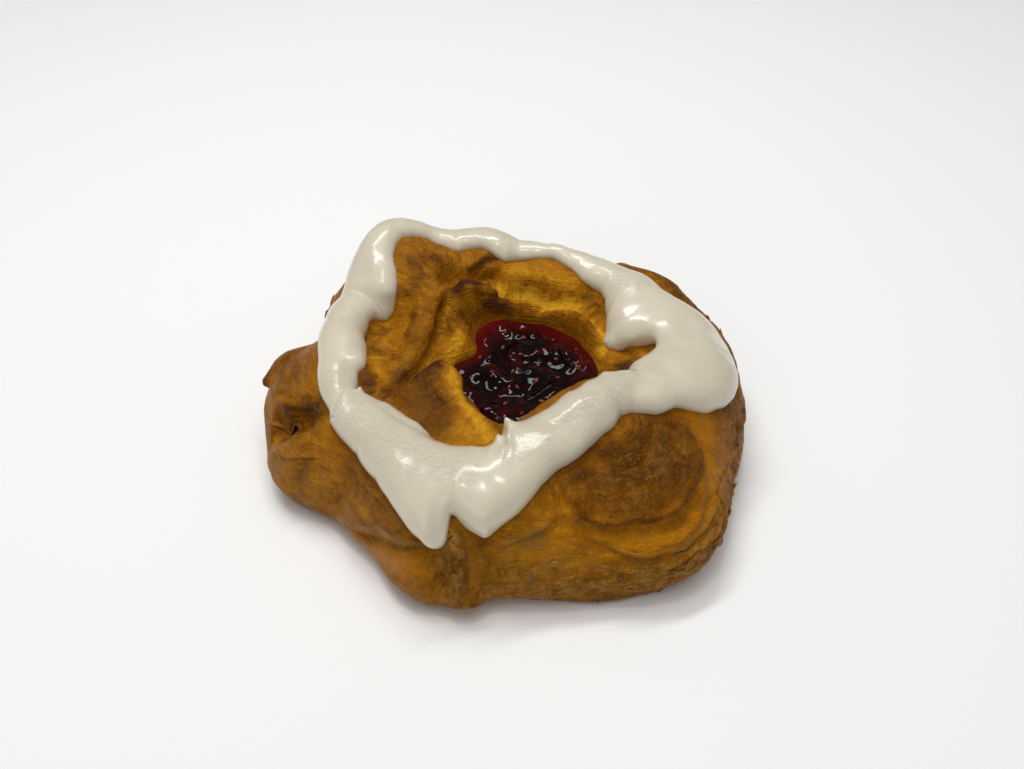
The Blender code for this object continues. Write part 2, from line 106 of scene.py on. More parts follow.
WELL_LOBES = {
    "back": (92, 45, 3, 0),
    "left": (150, 25, -4, 0.5),
    "front_left": (215, 40, -2.5, 0),
}
ICING_ROUND = 5.2  # how far in from its edge the icing reaches its full height
ICING_THINNER = {"back": (72, 60, -1.1), "left": (165, 40, -0.3), "right_shore": (20, 25, -0.3)}
# Where the icing ran outward: azimuth, spread, and the share by which its outer edge is thicker there.
ICING_FLOW = (252, 70, 0.6)
# How the drip beside the pinch leans: azimuth, spread, the distance from which and over which, degrees.
DRIP_LEAN = (251, 4, 48, 4, 1.8)
ICING_INNER = (  # azimuth and distance of the edge towards the well
    (0, 30.2), (4, 30.5), (6.5, 30), (9, 28.3), (11.3, 25.5), (12.6, 22.4), (14.5, 20.6), (20, 20.2),
    (26, 21.8), (32, 23.4), (39, 25.6), (43, 27.1), (48, 27.8), (58, 27.6), (68, 28.9), (76, 30),
    (84, 30.2),
    (92, 30), (99, 29.2), (104, 31.4), (108, 33.8), (113, 35), (117, 35.6), (120, 38), (124.5, 41),
    (129, 42.6), (133, 43.4), (137, 42.2), (141, 40.2), (144, 37.4), (147, 36), (150, 35.2), (154, 34.9),
    (157, 35.6), (159.5, 37.8), (163, 38.4), (170, 37.8), (178, 36.3), (186, 35.8), (190, 36.2),
    (192, 38),
    (199, 38.8), (203, 37.2), (207, 35.2), (211, 33.8), (217, 33), (226, 32.5), (232, 32.8), (238, 34),
    (245, 34.6), (251, 33.5), (256, 33.4), (259, 31.4), (264.5, 27), (270, 26), (280, 24.2), (295, 21.6),
    (308, 21.2), (315, 21.4), (322, 21.6), (328, 23), (336, 24.2), (344, 24.4), (348, 24.8), (352, 26.6),
    (355, 28.6), (358, 30),
)
ICING_OUTER = (  # azimuth and distance of the edge towards the side
    (0, 47.6), (6, 47.6), (10, 47), (14, 46), (17, 44.6), (20, 42.6), (25, 40.4), (30, 39.6), (40, 38.6),
    (50, 36.6), (60, 35.6), (70, 35.2), (80, 35.2), (90, 36.4), (98, 40), (106, 43.2), (115, 45.6),
    (125, 49), (135, 50.5), (145, 50), (155, 48.2), (170, 47.5), (185, 46.5), (196, 46.4), (203, 46),
    (206, 46.6), (214, 45.6), (220, 44.8), (230, 46.5), (236, 48.5), (239.5, 50), (242, 51), (245, 51.8),
    (248, 52.2), (250.4, 52.3), (251.2, 52), (251.5, 50), (251.7, 48), (253, 48), (254.2, 48.4),
    (255.6, 48.8), (257.4, 48.8), (259.4, 48.7), (261.6, 48.4), (263.4, 47.8), (265.3, 47), (267.4, 45.9),
    (270, 44.2), (274.5, 40.8), (280, 38), (290, 35), (300, 32.8), (306, 32.2), (311, 31), (316, 31.4),
    (319, 33.2), (322, 35.5), (325, 36.6), (329.5, 37.7), (331.5, 39.6), (333.2, 41.3), (336, 43.6),
    (339, 45), (342, 46.6), (346, 47.4), (353, 47.7),
)
# Rolls of dough along a path: azimuth, distance, height, half width, half height.
ROLLS = {
    "strip": ((122, 34, 29, 5, 2.5), (140, 28, 28, 4.5, 3.2), (170, 26, 25, 3.5, 3), (202, 30, 22, 2, 2)),
    "small_fold": ((180, 30, 25, 1.6, 1.6), (192, 31, 21, 2.4, 2)),
    "knuckle": ((188, 37, 25, 2.5, 2.2), (194, 36, 24, 3.4, 2.8), (200, 34, 22, 3.2, 2.4)),
    "tip_lip": ((183, 58, 15.5, 1.4, 1.6), (190, 55, 18, 1.8, 2), (195.5, 50.5, 21, 1.6, 1.6),
                (198, 47, 23, 1, 1)),
    "tip": ((171, 49, 17, 5, 3.6), (175, 56, 17, 4.5, 3.4), (178, 61, 15, 1.4, 1.4)),
    "curl": ((134, 26, 29, 1.4, 1.4), (124, 25, 30, 2.4, 1.8), (109, 21, 28, 1, 1)),
    "foot": ((268, 48, 2, 2.5, 1.8), (288, 51, 2, 3, 1.8), (302, 54, 2, 2.5, 1.8)),
    "pinch": ((249, 46, 21, 1.2, 2), (253, 49, 19, 2.5, 3), (255, 52, 12, 4, 3.5),
              (255, 54, 6, 5.5, 3.5)),
    "peak": ((279, 42, 22, 3, 1.2), (281, 46, 20, 1.8, 1.4), (284, 49, 17, 2.6, 0.8)),
    "back_rim": ((50, 37, 27, 4, 3), (35, 41, 26, 4.5, 3), (19, 45, 22, 3, 2.5)),
    "side_fold": ((350, 24, 22, 2.5, 1.5), (0, 29, 25, 3, 1.5)),
}
# Flaps of dough, each a bent sheet from its free edge to its foot: azimuth, distance, height.
FLAPS = {
    "petal": {
        "edge": ((162, 18.5, 21), (150, 20.5, 25), (138, 23.5, 28.5), (125, 25.5, 32), (108, 21.5, 27),
                 (76, 18, 23)),
        "foot": ((162, 17.5, 18), (115, 19, 18), (74, 18, 18)),
        "thickness": 2.0, "swell": 1.5,
    },
    "side_flap": {
        "edge": ((84, 18.5, 22), (60, 19, 26), (42, 19.5, 26.5), (20, 20, 24)),
        "foot": ((78, 19, 18), (46, 18, 18), (20, 18, 18)),
        "thickness": 2.2, "swell": 0.8,
    },
    "front_left": {
        "edge": ((206, 34, 25), (203, 27, 26), (193, 19.5, 27.5), (207, 16, 25.5), (229, 19.5, 25),
                 (259, 26, 26)),
        "foot": ((206, 35, 24), (230, 33, 24), (254, 31, 24)),
        "thickness": 3.0, "swell": 0.8,
    },
    "front_right": {
        "edge": ((262, 27, 26), (280, 20, 28), (305, 18, 29), (334, 22, 27)),
        "foot": ((265, 34, 23), (295, 32, 25), (330, 32, 25)),
        "thickness": 3.6, "swell": 1.2,
    },
}
# Folds pressed into the dough: depth, half width, then azimuth, distance, height along it.
CREASES = {
    "behind_petal": (3.2, 2.6, ((136, 30, 30), (118, 27.5, 30), (98, 25, 27))),
    "behind_rim": (1.2, 2.4, ((98, 25, 27), (80, 23, 25), (60, 23, 25))),
    "behind_side_flap": (1.5, 3.5, ((65, 25, 26), (48, 25, 26), (30, 25, 25))),
    "left_valley": (3.4, 5.0, ((150, 36, 29), (168, 35, 27), (184, 33, 25))),
    "right_hole": (2.0, 3.0, ((12, 21, 22), (8, 26, 24), (4, 31, 26))),
    "hollow": (5.0, 2.8, ((192.5, 59, 13.5), (195.5, 54, 15.8), (198, 49.5, 18.8), (199.5, 47.5, 20.5))),
    "left_seam": (1.4, 1.8, ((220, 45, 21), (219, 51, 15), (214, 54, 4))),
    "beside_strip": (1.5, 1.6, ((134, 25.5, 30), (150, 22, 27), (168, 20.5, 23))),
    "above_left_flap": (1.4, 1.8, ((212, 33, 24), (198, 27, 24), (186, 21, 23))),
    "inner_crescent": (0.9, 1.5, ((288, 35, 27), (304, 42, 25), (320, 36, 27))),
    "left_of_pinch": (2.0, 2.6, ((244, 49, 19), (250, 53, 13), (252, 55, 5))),
    "right_of_pinch": (1.4, 3.0, ((258, 46, 21), (261, 50, 14), (262, 53, 6))),
    "back_seam": (1.5, 1.8, ((68, 38, 29), (73, 44, 15), (72, 44, 5))),
    "back_right_seam": (1.3, 1.6, ((25, 47, 20), (18, 51, 12), (18, 50, 4))),
}
# Edges of layers of dough that end on the side: height, reach, places.
LAYERS = {
    "left_ledge": (1.8, 7, ((223, 54, 8), (236, 52, 15), (251, 53, 16))),
    "dome": (2.2, 8, ((277, 38, 26), (285, 47, 20), (304, 52, 19), (322, 47, 21), (328, 40, 25))),
    "band": (1.4, 5, ((279, 42, 23), (287, 50, 16), (302, 56, 14), (316, 53, 18), (324, 47, 21))),
    "lower_band": (0.8, 4, ((283, 51, 12), (299, 56, 13), (314, 56, 14))),
    "front_fold": (0.9, 5, ((262, 48, 18), (272, 48, 19), (281, 45, 21))),
    "tip_layer": (0.8, 3, ((184, 58, 17), (190, 53, 20), (196, 48, 23))),
    "back_left_layer": (1.4, 6, ((122, 51, 15), (145, 53, 17), (168, 52, 18))),
    "back_layer": (1.5, 7, ((34, 48, 18), (75, 41, 20), (116, 46, 20))),
    "right_layer": (1.2, 6, ((330, 52, 14), (0, 52, 15), (30, 50, 13))),
}
STEP_UP, STEP_DOWN = 0.6, 0.4
# Thin leaves of dough on the finished crust: reach uphill, lift of the rim, then the rim's places.
LEAVES = {
    "under_tip": (2.0, 0.5, ((186, 61, 12), (192, 58, 14), (199, 52, 18))),
    "bulge_top": (3.0, 0.5, ((196, 60, 11), (204, 57, 15), (212, 51, 19))),
    "bulge_low": (3.0, 0.4, ((196, 60, 6), (206, 59, 7), (215, 55, 9))),
    "left_ledge": (6.0, 0.9, ((219, 53, 6), (230.5, 52.5, 9.8), (237, 53, 13), (244, 52.5, 15.3),
                              (250, 52, 16.7))),
    "front_left_low": (3.0, 0.4, ((226, 54, 3), (238, 55, 5), (250, 57, 6))),
    "front_left_high": (3.5, 0.5, ((212, 48, 21), (225, 49, 19), (240, 50, 18))),
    "front_fold": (4.0, 0.35, ((259, 50, 15), (268, 49, 18), (278, 46, 21))),
    "band": (3.0, 0.7, ((284, 49, 17), (298, 56, 14), (314, 56, 15), (326, 50, 19))),
    "band_low": (2.5, 0.6, ((280, 52, 13), (296, 57, 11), (314, 58, 12), (330, 53, 15))),
    "low_front": (3.0, 0.5, ((260, 53, 9), (280, 54, 8), (300, 59, 8), (320, 58, 9))),
    "foot_front": (2.5, 0.5, ((262, 53, 4), (284, 54, 3.5), (306, 59, 4), (326, 56, 5))),
    "right_top": (4.0, 0.6, ((332, 46, 21), (342, 50, 19), (352, 52, 19), (4, 51, 19))),
    "right_upper": (3.5, 0.5, ((326, 52, 16), (342, 54, 14), (0, 52, 15))),
    "right_lower": (3.0, 0.5, ((328, 56, 9), (346, 54, 8), (6, 52, 8), (24, 51, 8))),
    "right_layer": (5.0, 0.8, ((352, 53, 12), (14, 52, 15), (32, 49, 14))),
    "back_layer": (5.0, 0.8, ((36, 47, 18), (75, 41, 20), (112, 46, 20))),
    "back_upper": (4.0, 0.6, ((42, 43, 24), (75, 38, 26), (106, 42, 27))),
    "back_lower": (4.0, 0.5, ((30, 49, 10), (75, 43, 11), (118, 49, 10))),
    "back_left_layer": (5.0, 0.8, ((122, 51, 15), (145, 53, 17), (168, 52, 18))),
    "back_left_upper": (4.0, 0.6, ((120, 46, 25), (140, 50, 26), (160, 48, 24))),
    "back_left_low": (4.0, 0.5, ((126, 53, 8), (150, 54, 9), (174, 56, 9))),
}
# Creases too fine for the solid model, given as CREASES are.
FINE_CREASES = {
    "crescent_edge": (0.5, 0.9, ((286, 37, 28), (298, 42, 27), (310, 42, 27), (322, 36, 29))),
    "crescent_inner": (0.35, 0.8, ((292, 34, 29), (304, 38, 28), (316, 35, 29))),
    "sheet_edge": (0.8, 0.8, ((121, 27, 31), (112, 28.2, 33), (99, 29.7, 33.5))),
    "strip_groove": (0.5, 0.7, ((140, 28, 32), (160, 26, 29), (182, 27, 26))),
    "flap_groove": (0.45, 0.8, ((205, 30, 26), (215, 24, 26), (232, 24, 26))),
    "tongue_left": (1.0, 0.9, ((250, 50, 20), (252, 54, 13), (251, 57, 5))),
    "tongue_right": (0.6, 0.9, ((256, 50, 19), (258, 54, 12), (258, 56, 5))),
    "side_groove": (0.5, 0.8, ((344, 49, 20), (340, 53, 13), (338, 54, 6))),
    "bulge_groove": (0.6, 1.0, ((206, 50, 18), (208, 57, 11), (208, 57, 4))),
    "below_ledge": (1.2, 1.0, ((222, 53, 6), (230.5, 53, 8.8), (237, 53.5, 12), (244, 53, 14.3),
                               (250, 52.5, 15.7))),
}
# Marks on the crust, each a soft dab or stroke: strength, half width, then its places.
MARKS = {
    "stain": (  # dark fruit stain
        (1.0, 1.8, ((119, 23.8, 30), (125, 25, 31.2), (131, 24.2, 30.4))),
        (0.8, 1.3, ((120, 25.5, 31), (126, 26.5, 32), (132, 25.6, 31))),
        (0.5, 1.2, ((133, 24, 29), (142, 22.5, 27), (150, 20.5, 25))),
        (0.4, 1.4, ((112, 22, 28), (102, 20.5, 27))),
        (0.9, 1.8, ((186, 16, 28), (192, 19, 28), (198, 22, 28))),
        (0.55, 1.8, ((192, 29, 28), (202, 27, 27))),
        (0.4, 1.6, ((198, 35, 27), (203, 38, 26))),
        (0.6, 1.8, ((116, 19, 26), (104, 17.5, 24))),
        (0.9, 2.4, ((354, 23, 24), (346, 23, 25))),
    ),
    "baked_dark_and_shade": (  # crust baked darkest, and painted shade in the hollow under the tip and along creases
        # the back sheet's browned edge, with painted shade in the groove beside it
        (0.9, 1.1, ((120, 28, 32), (110, 29.5, 33), (98, 31, 33))),
        (0.35, 1.2, ((112, 23, 30), (100, 21, 28), (88, 18.5, 26))),
        # painted shade in the crease beside the strip
        (0.45, 1.2, ((138, 25, 30), (148, 23, 27), (160, 21, 24))),
        (0.7, 1.4, ((191, 23, 28), (198, 29, 27), (204, 34, 26))),
        (0.5, 2.2, ((160, 28, 28), (172, 28, 27), (182, 29, 27))),
        (0.8, 0.9, ((66, 29, 31),)), (0.7, 0.8, ((55, 28.5, 30),)), (0.5, 0.8, ((92, 31, 32),)),
        # painted shade in the hollow under the tip, below its lip
        (1.0, 3.6, ((194, 54, 15), (196.5, 50, 17), (198, 46.5, 19))),
        (0.6, 1.8, ((176, 62, 18), (179, 62, 15))),
        (0.8, 1.5, ((26, 45, 26), (22, 47, 25))),
        (0.5, 3.0, ((190, 37, 27), (198, 37, 26))),
        (1.0, 5.0, ((200, 24, 28), (212, 27, 27), (228, 29, 27))),
        (0.7, 2.2, ((106, 19.5, 25), (122, 20, 25), (136, 20.5, 25))),
        (0.6, 5.0, ((338, 50, 20), (350, 52, 16))), (0.4, 5.0, ((176, 54, 20), (184, 53, 20))),
        (0.6, 1.6, ((300, 18, 29), (318, 18.5, 29), (334, 22, 27))),
        (0.5, 3.0, ((18, 46, 23), (40, 42, 27))),
        (1.0, 0.8, ((327, 53, 17),)), (0.9, 0.7, ((329, 54, 14),)), (0.8, 0.6, ((324, 53, 18),)),
        (0.6, 1.6, ((338, 46, 23), (342, 47, 23))),
        (0.8, 8.0, ((290, 38, 27), (304, 42, 25), (320, 39, 27))),
        (0.7, 4.5, ((288, 45, 22), (302, 48, 21), (318, 46, 22))),
        (0.5, 0.9, ((322, 33, 29), (320, 38, 28), (312, 43, 26), (300, 44, 25))),
        (0.5, 1.6, ((252, 49, 21), (254, 53, 15), (254, 57, 6))),
        (0.35, 3.4, ((255, 52, 18), (255, 57, 8))),
        (0.35, 1.2, ((208, 53, 17), (209, 57, 10), (209, 57, 4))),
        # painted shade in the crease below the left ledge
        (0.7, 0.9, ((222, 52.8, 6.5), (230.5, 52.8, 9.2), (237, 53.2, 12.5), (244, 52.8, 14.8),
                    (250, 52.3, 16.2))),
        (0.3, 4.0, ((212, 46, 22), (226, 48, 19), (240, 50, 18))),
        (0.7, 4.0, ((358, 33, 27), (8, 32, 26))),
        (0.4, 1.0, ((302, 54, 18), (312, 53, 19), (320, 51, 20))),
        (0.4, 2.0, ((140, 36, 34), (128, 34, 34))), (0.35, 2.0, ((150, 31, 30), (140, 31, 32))),
        (0.4, 1.5, ((196, 61, 4), (216, 56, 3))), (0.4, 1.2, ((286, 54, 3), (306, 59, 3))),
    ),
    "pale": (  # dough under folds, baked least
        (0.9, 1.9, ((200, 18, 27), (213, 19, 27), (226, 20.5, 27), (241, 23.5, 27), (254, 28, 27))),
        (0.4, 2.4, ((232, 26, 27), (244, 28, 27), (253, 30, 27))),
        (0.8, 1.8, ((148, 18.5, 22), (158, 18, 21), (168, 18, 21))),
        (0.4, 1.4, ((122, 20, 26), (132, 20, 25))),
        (1.0, 2.6, ((102, 24, 27), (86, 23, 25), (70, 22.5, 24), (56, 22.5, 25))),
        (0.6, 2.2, ((96, 27, 30), (80, 26.5, 29), (64, 26, 28))),
        (0.9, 2.6, ((160, 35, 28), (170, 34, 27), (180, 33, 27))),
        (0.5, 2.2, ((154, 37, 30), (164, 38, 28))), (0.5, 1.8, ((172, 29, 26), (180, 27, 26))),
        (0.9, 1.8, ((28, 20.5, 24), (16, 19.5, 22))), (1.0, 2.0, ((3, 28, 27),)),
        (0.4, 1.4, ((188, 34, 27), (192, 33, 26))),
    ),
    "gold": (  # smooth golden crust
        (1.0, 2.8, ((222, 54, 5), (232, 54, 8), (242, 54, 11), (250, 56, 13))),
        (0.9, 2.2, ((278, 48, 19), (288, 51, 17), (300, 55, 16), (312, 54, 17), (322, 50, 20),
                    (330, 44, 24))),
        (0.7, 2.4, ((264, 51, 14), (274, 50, 16), (284, 49, 19))),
        (0.5, 2.6, ((332, 42, 26), (336, 46, 23), (338, 50, 19))),
        (0.5, 2.4, ((100, 28, 31), (84, 28, 30), (64, 27, 29))),
        (0.6, 1.8, ((184, 35, 27), (190, 33, 26))), (0.3, 2.4, ((208, 28, 27), (224, 30, 27))),
        (0.4, 2.0, ((286, 36, 28), (294, 40, 27))), (0.5, 2.4, ((206, 47, 21), (214, 48, 20))),
    ),
    "unbaked": ((0.9, 1.3, ((266, 49.5, 17), (273, 48.5, 18))),
                (0.7, 0.9, ((240, 52.5, 15.5), (249, 52.5, 16)))),
    "flaky": (  # blistered crust
        (1.0, 5.0, ((276, 54, 6), (292, 57, 8), (308, 59, 9), (320, 58, 11), (332, 55, 13))),
        (0.8, 3.0, ((258, 57, 5), (268, 54, 7))), (0.5, 4.0, ((338, 54, 14), (350, 53, 14))),
        (0.25, 5.0, ((296, 45, 24), (316, 44, 25))),
        (0.9, 3.0, ((253, 50, 20), (254, 54, 13), (254, 57, 6))),
        (0.5, 4.0, ((264, 52, 12), (276, 52, 12))), (0.6, 9.0,
                                                     ((10, 50, 14), (40, 46, 15), (80, 42, 15),
                                                      (120, 49, 14), (160, 54, 12))),
        (0.25, 5.0, ((188, 58, 15), (200, 57, 13), (214, 54, 14))),
        (0.3, 4.0, ((226, 50, 18), (240, 51, 17))),
    ),
    "ribbed": (  # where the grain runs up and down instead of along the layers
        (1.0, 9.0, ((120, 34, 33), (150, 34, 30), (172, 32, 27))),
        (1.0, 6.0, ((155, 22, 25), (130, 23, 27), (104, 24, 28), (70, 24, 26), (46, 22, 25))),
        (1.0, 4.0, ((253, 50, 20), (254, 54, 12), (254, 58, 4))),
        (0.5, 7.0, ((198, 26, 27), (220, 26, 27), (246, 28, 27))),
        (1.0, 4.0, ((190, 36, 26), (198, 36, 26))),
    ),
}
DOME = (306, 30, 27, 17.0)  # middle and radius of the front dome, whose layers lie in rings round it
# Blobs of icing: azimuth, distance, height, radius, how far up; negative ones are dents.
ICING_BLOBS = (
    (112, 42, 38, 3.2, 0.9), (103, 41, 38, 3.4, 0.9), (96, 37, 35, 3.5, 0.3), (76, 32, 33, 3.5, 0.7),
    (38, 33, 31, 6.0, 0.8),
    (20, 32, 29, 7.0, 0.7), (232, 42, 26, 7.0, 0.9), (218, 39, 26, 5.0, 0.5), (246, 44, 24, 4.0, -0.4),
    (259, 46, 23, 3.5, 0.8),
    (262, 44, 24, 4.0, 0.5), (300, 27, 31, 5.0, 0.7), (280, 31, 30, 5.0, 0.5), (172, 42, 29, 5.0, 0.4),
    (6, 38, 30, 4.0, -0.9),
    (6, 46, 27, 4.0, -0.5), (346, 36, 29, 6.0, 0.7), (350, 46, 26, 5.0, 0.5), (30, 26, 28, 4.0, 0.7),
)
ICING_SPIKES = (  # azimuth, distance, height, radius, how far up
    (202.5, 38.4, 26, 0.8, 2.6), (201.2, 40.2, 26, 0.6, 1.0), (203.5, 42, 26, 0.5, 0.6),
    (263.6, 28.8, 27, 0.8, 2.4), (260.5, 32.6, 27, 0.7, 1.4), (264.5, 34, 27, 0.6, 1.2),
    (263, 37, 27, 0.6, 0.8),
)
JAM_LUMPS = (  # azimuth, distance, radius, height
    (115, 7, 2.0, 0.7), (180, 7, 1.8, 0.8), (150, 9, 1.4, 0.6), (80, 13, 1.5, 0.7), (105, 14.5, 1.5, 0.6),
    (96, 13, 1.2, 0.5), (280, 13, 2.0, 0.8), (235, 14, 2.4, 0.7), (215, 11, 2.4, 0.6),
    (250, 10, 1.8, 0.5),
    (25, 13, 2.2, 0.6), (60, 4, 2.4, 0.5), (300, 12, 1.6, 0.5), (130, 14, 1.8, 0.5), (200, 14, 2.0, 0.5),
    (262, 17, 1.6, 0.6), (350, 14, 1.6, 0.5), (320, 10, 1.4, 0.5), (45, 15, 1.6, 0.4), (330, 3, 1.8, 0.4),
)
JAM_STRANDS = (  # half width, height, then azimuth and distance along it
    (0.5, 0.7, ((58, 11), (48, 9.5), (40, 11), (22, 10.5), (8, 12))),
    (0.5, 0.7, ((272, 8), (290, 7), (312, 6.5), (340, 7.5), (348, 9))),
    (0.4, 0.5, ((30, 12), (16, 14), (2, 13.5))),
    (0.4, 0.4, ((108, 8.5), (120, 6.5), (132, 6))),
    (0.4, 0.4, ((246, 16), (258, 15), (268, 16.5))),
)
SEAMS = {  # azimuth, wander, step up after it, width and height of its ridge, share of the band it crosses
    "left": (204, 2.6, 1.6, 0.8, 0.4, 1.3),
    "front": (264, 1.2, 0.9, 0.8, 1.0, 0.5),
    "front_tear": (261, 1.5, 0.3, 0.5, 0.8, 0.45),
}
WRINKLED = (  # where the icing's skin is wrinkled, as marks are
    (1.0, 5.5, ((212, 42, 27), (224, 41, 27), (236, 41, 28), (250, 41, 28))),
    (1.0, 4.0, ((268, 36, 30), (282, 31, 31), (300, 27, 32), (318, 27, 32))),
    (1.0, 3.0, ((262, 30, 29), (263, 38, 27))), (0.8, 3.0, ((196, 43, 28), (200, 41, 28))),
    (0.8, 4.0, ((44, 32, 31), (36, 33, 31))), (0.5, 5.0, ((100, 38, 36), (112, 40, 38))),
)


# ---------------------------------------------------------------- shapes


def lobed(azimuth, base, lobes, column=2):
    """A base value with what the lobes add to it at any azimuths; column is the lobe's value that counts."""
    value = base + np.zeros(len(azimuth))
    for lobe in lobes.values():
        from_middle = np.abs((azimuth - lobe[0] + 180) % 360 - 180) / lobe[1]
        value += lobe[column] * np.cos(np.pi / 2 * np.clip(from_middle, 0, 1)) ** 2
    return value


def bell(value, power=2):
    """1 at 0 and less and less away from it."""
    return np.exp(-(value**power))


def from_ends(share, part):
    """0 at both ends of a run of 0 to 1, and 1 past the given part of it."""
    return np.clip(np.minimum(share, 1 - share) / part, 0, 1)


def side_at(azimuth):
    angle = np.radians(azimuth)
    depth = np.where(np.sin(angle) > 0, SIDE_BACK, SIDE_FRONT)
    oval = 1 / np.hypot(np.cos(angle) / SIDE_RIGHT, np.sin(angle) / depth)
    belly = BELLY + BELLY_TILT * np.sin(angle)
    return lobed(azimuth, oval, SIDE_LOBES), lobed(azimuth, belly, SIDE_LOBES, 3)


def ridge_at(azimuth):
    return lobed(azimuth, RIDGE, RIDGE_LOBES), lobed(azimuth, RIDGE_TOP, RIDGE_LOBES, 3)


def well_at(azimuth):
    lip = WELL_LIP + LIP_TILT * np.sin(np.radians(azimuth))
    return lobed(azimuth, WELL, WELL_LOBES), lobed(azimuth, lip, WELL_LOBES, 3)


def edge_at(azimuth, edge):
    """Distance of an edge that runs round the pastry through its places, with soft corners."""
    fine = np.arange(0, 360, 0.25)
    reach = np.interp(fine, *np.transpose(edge), period=360)
    return np.interp(azimuth, fine, soften(reach[:, None], 4)[:, 0], period=360)


def leaned(azimuth, distance):
    """Azimuths of the icing's columns, which lean sideways in the drip beside the pinch."""
    middle, spread, start, reach, lean = DRIP_LEAN
    return azimuth + lean * bell((azimuth - middle) / spread) * np.clip((distance - start) / reach, 0, 1)


def spline(points, per_span):
    """A smooth curve through points of any number of columns."""
    points = np.asarray(points, float)
    points = np.concatenate([[2 * points[0] - points[1]], points, [2 * points[-1] - points[-2]]])
    t = np.linspace(0, 1, per_span, endpoint=False).reshape([-1] + [1] * (points.ndim - 1))
    spans = []
    for a, b, c, d in zip(points, points[1:], points[2:], points[3:]):
        spans.append(0.5 * (2 * b + (c - a) * t + (2 * a - 5 * b + 4 * c - d) * t**2
                            + (3 * b - a - 3 * c + d) * t**3))
    spans.append(points[-2:-1])
    return np.vstack(spans)


def evenly(points, count):
    """count points at even steps along the smooth curve through the given ones."""
    fine = spline(points, 12)
    steps = np.linalg.norm(np.diff(fine[:, :3], axis=0), axis=1)
    along = np.concatenate([[0], np.cumsum(steps)])
    at = np.linspace(0, along[-1], count)
    return np.stack([np.interp(at, along, column) for column in fine.T], axis=1)


def place(azimuth, distance, height):
    """Points in millimetres from azimuths, distances and heights."""
    angle = np.radians(azimuth)
    x = WELL_CENTRE[0] + distance * np.cos(angle)
    y = WELL_CENTRE[1] + distance * np.sin(angle)
    return np.stack(np.broadcast_arrays(x, y, height), axis=-1)


def places(rows):
    """Rows whose first three columns are azimuth, distance and height, as x, y, z and the rest."""
    rows = np.asarray(rows, float)
    return np.hstack([place(rows[:, 0], rows[:, 1], rows[:, 2]), rows[:, 3:]])


def azimuth_of(points):
    return np.degrees(np.arctan2(points[:, 1] - WELL_CENTRE[1], points[:, 0] - WELL_CENTRE[0])) % 360


def linked(name, data):
    """An object in the scene that holds the data."""
    thing = bpy.data.objects.new(name, data)
    bpy.context.scene.collection.objects.link(thing)
    return thing


def mesh_of(name, body):
    """A mesh of what the bmesh holds."""
    mesh = bpy.data.meshes.new(name)
    body.to_mesh(mesh)
    body.free()
    return mesh


def mesh_object(name, points, faces):
    """A mesh object from points in millimetres, with its faces pointing out."""
    mesh = bpy.data.meshes.new(name)
    mesh.from_pydata((np.asarray(points) * MM).tolist(), [], faces)
    body = bmesh.new()
    body.from_mesh(mesh)
    bmesh.ops.recalc_face_normals(body, faces=body.faces)
    body.to_mesh(mesh)
    body.free()
    return linked(name, mesh)


def tube_faces(rows, columns):
    """Faces of a closed tube of rows, each of so many points, with a flat cap at both ends."""
    faces = []
    for i in range(rows - 1):
        for j in range(columns):
            k = (j + 1) % columns
            faces.append((i * columns + j, i * columns + k, (i + 1) * columns + k, (i + 1) * columns + j))
    faces.append(tuple(reversed(range(columns))))
    faces.append(tuple(range((rows - 1) * columns, rows * columns)))
    return faces


def body_of_dough(columns=240):
    """The folded dough without its flaps: a foot, a swelling side, a ridge and the well inside it."""
    azimuth = np.linspace(0, 360, columns, endpoint=False)
    side, belly = side_at(azimuth)
    ridge, top = ridge_at(azimuth)
    edge, lip = well_at(azimuth)
    none = np.zeros(columns)
    profile = (
        (none + 0.5, none),
        (side - 7, none),
        (side - 4.2, none + 0.3),
        (side - 1.6, 0.32 * belly),
        (side - 0.2, 0.8 * belly),
        (side - 0.2, 1.2 * belly),
        (0.82 * side + 0.18 * ridge, 0.5 * belly + 0.5 * top),
        (0.55 * side + 0.45 * ridge, 0.84 * top),
        (0.25 * side + 0.75 * ridge, 0.965 * top),
        (ridge, top),
        (0.75 * ridge + 0.25 * edge, 0.97 * top + 0.03 * lip),
        (0.4 * ridge + 0.6 * edge, 0.72 * top + 0.28 * lip),
        (0.12 * ridge + 0.88 * edge, 0.3 * top + 0.7 * lip),
        (edge, lip),
        (edge - 1.2, lip - 2.5),
        (edge - 3.5, none + WELL_FLOOR),
        (none + 0.5, none + WELL_FLOOR),
    )
    loops = spline(np.array(profile), 6)
    distance, height = loops[:, 0], np.maximum(loops[:, 1], 0)
    points = place(azimuth[None], distance, height).reshape(-1, 3)
    return mesh_object("body_of_dough", points, tube_faces(len(loops), columns))


def roll_of_dough(name, stations, sides=20):
    """A fold like a rolled rope, an elliptical tube with round ends."""
    rows = spline(places(stations), 10)
    middle, width, height = rows[:, :3], rows[:, 3], rows[:, 4]
    forward = np.gradient(middle, axis=0)
    forward /= np.linalg.norm(forward, axis=1)[:, None]
    across = np.cross(forward, (0, 0, 1))
    across /= np.linalg.norm(across, axis=1)[:, None]
    upward = np.cross(across, forward)
    turn = np.linspace(0, 2 * np.pi, sides, endpoint=False)[:, None]

    def ring(i, shrink, shift):
        return (middle[i] + shift * forward[i]
                + shrink * (np.cos(turn) * width[i] * across[i] + np.sin(turn) * height[i] * upward[i]))

    rings = [ring(i, 1, 0) for i in range(len(rows))]
    for angle in np.radians(CAP_ANGLES):
        shift = np.sin(angle)
        rings.insert(0, ring(0, np.cos(angle), -shift * min(width[0], height[0])))
        rings.append(ring(-1, np.cos(angle), shift * min(width[-1], height[-1])))
    return mesh_object(name, np.vstack(rings), tube_faces(len(rings), sides))


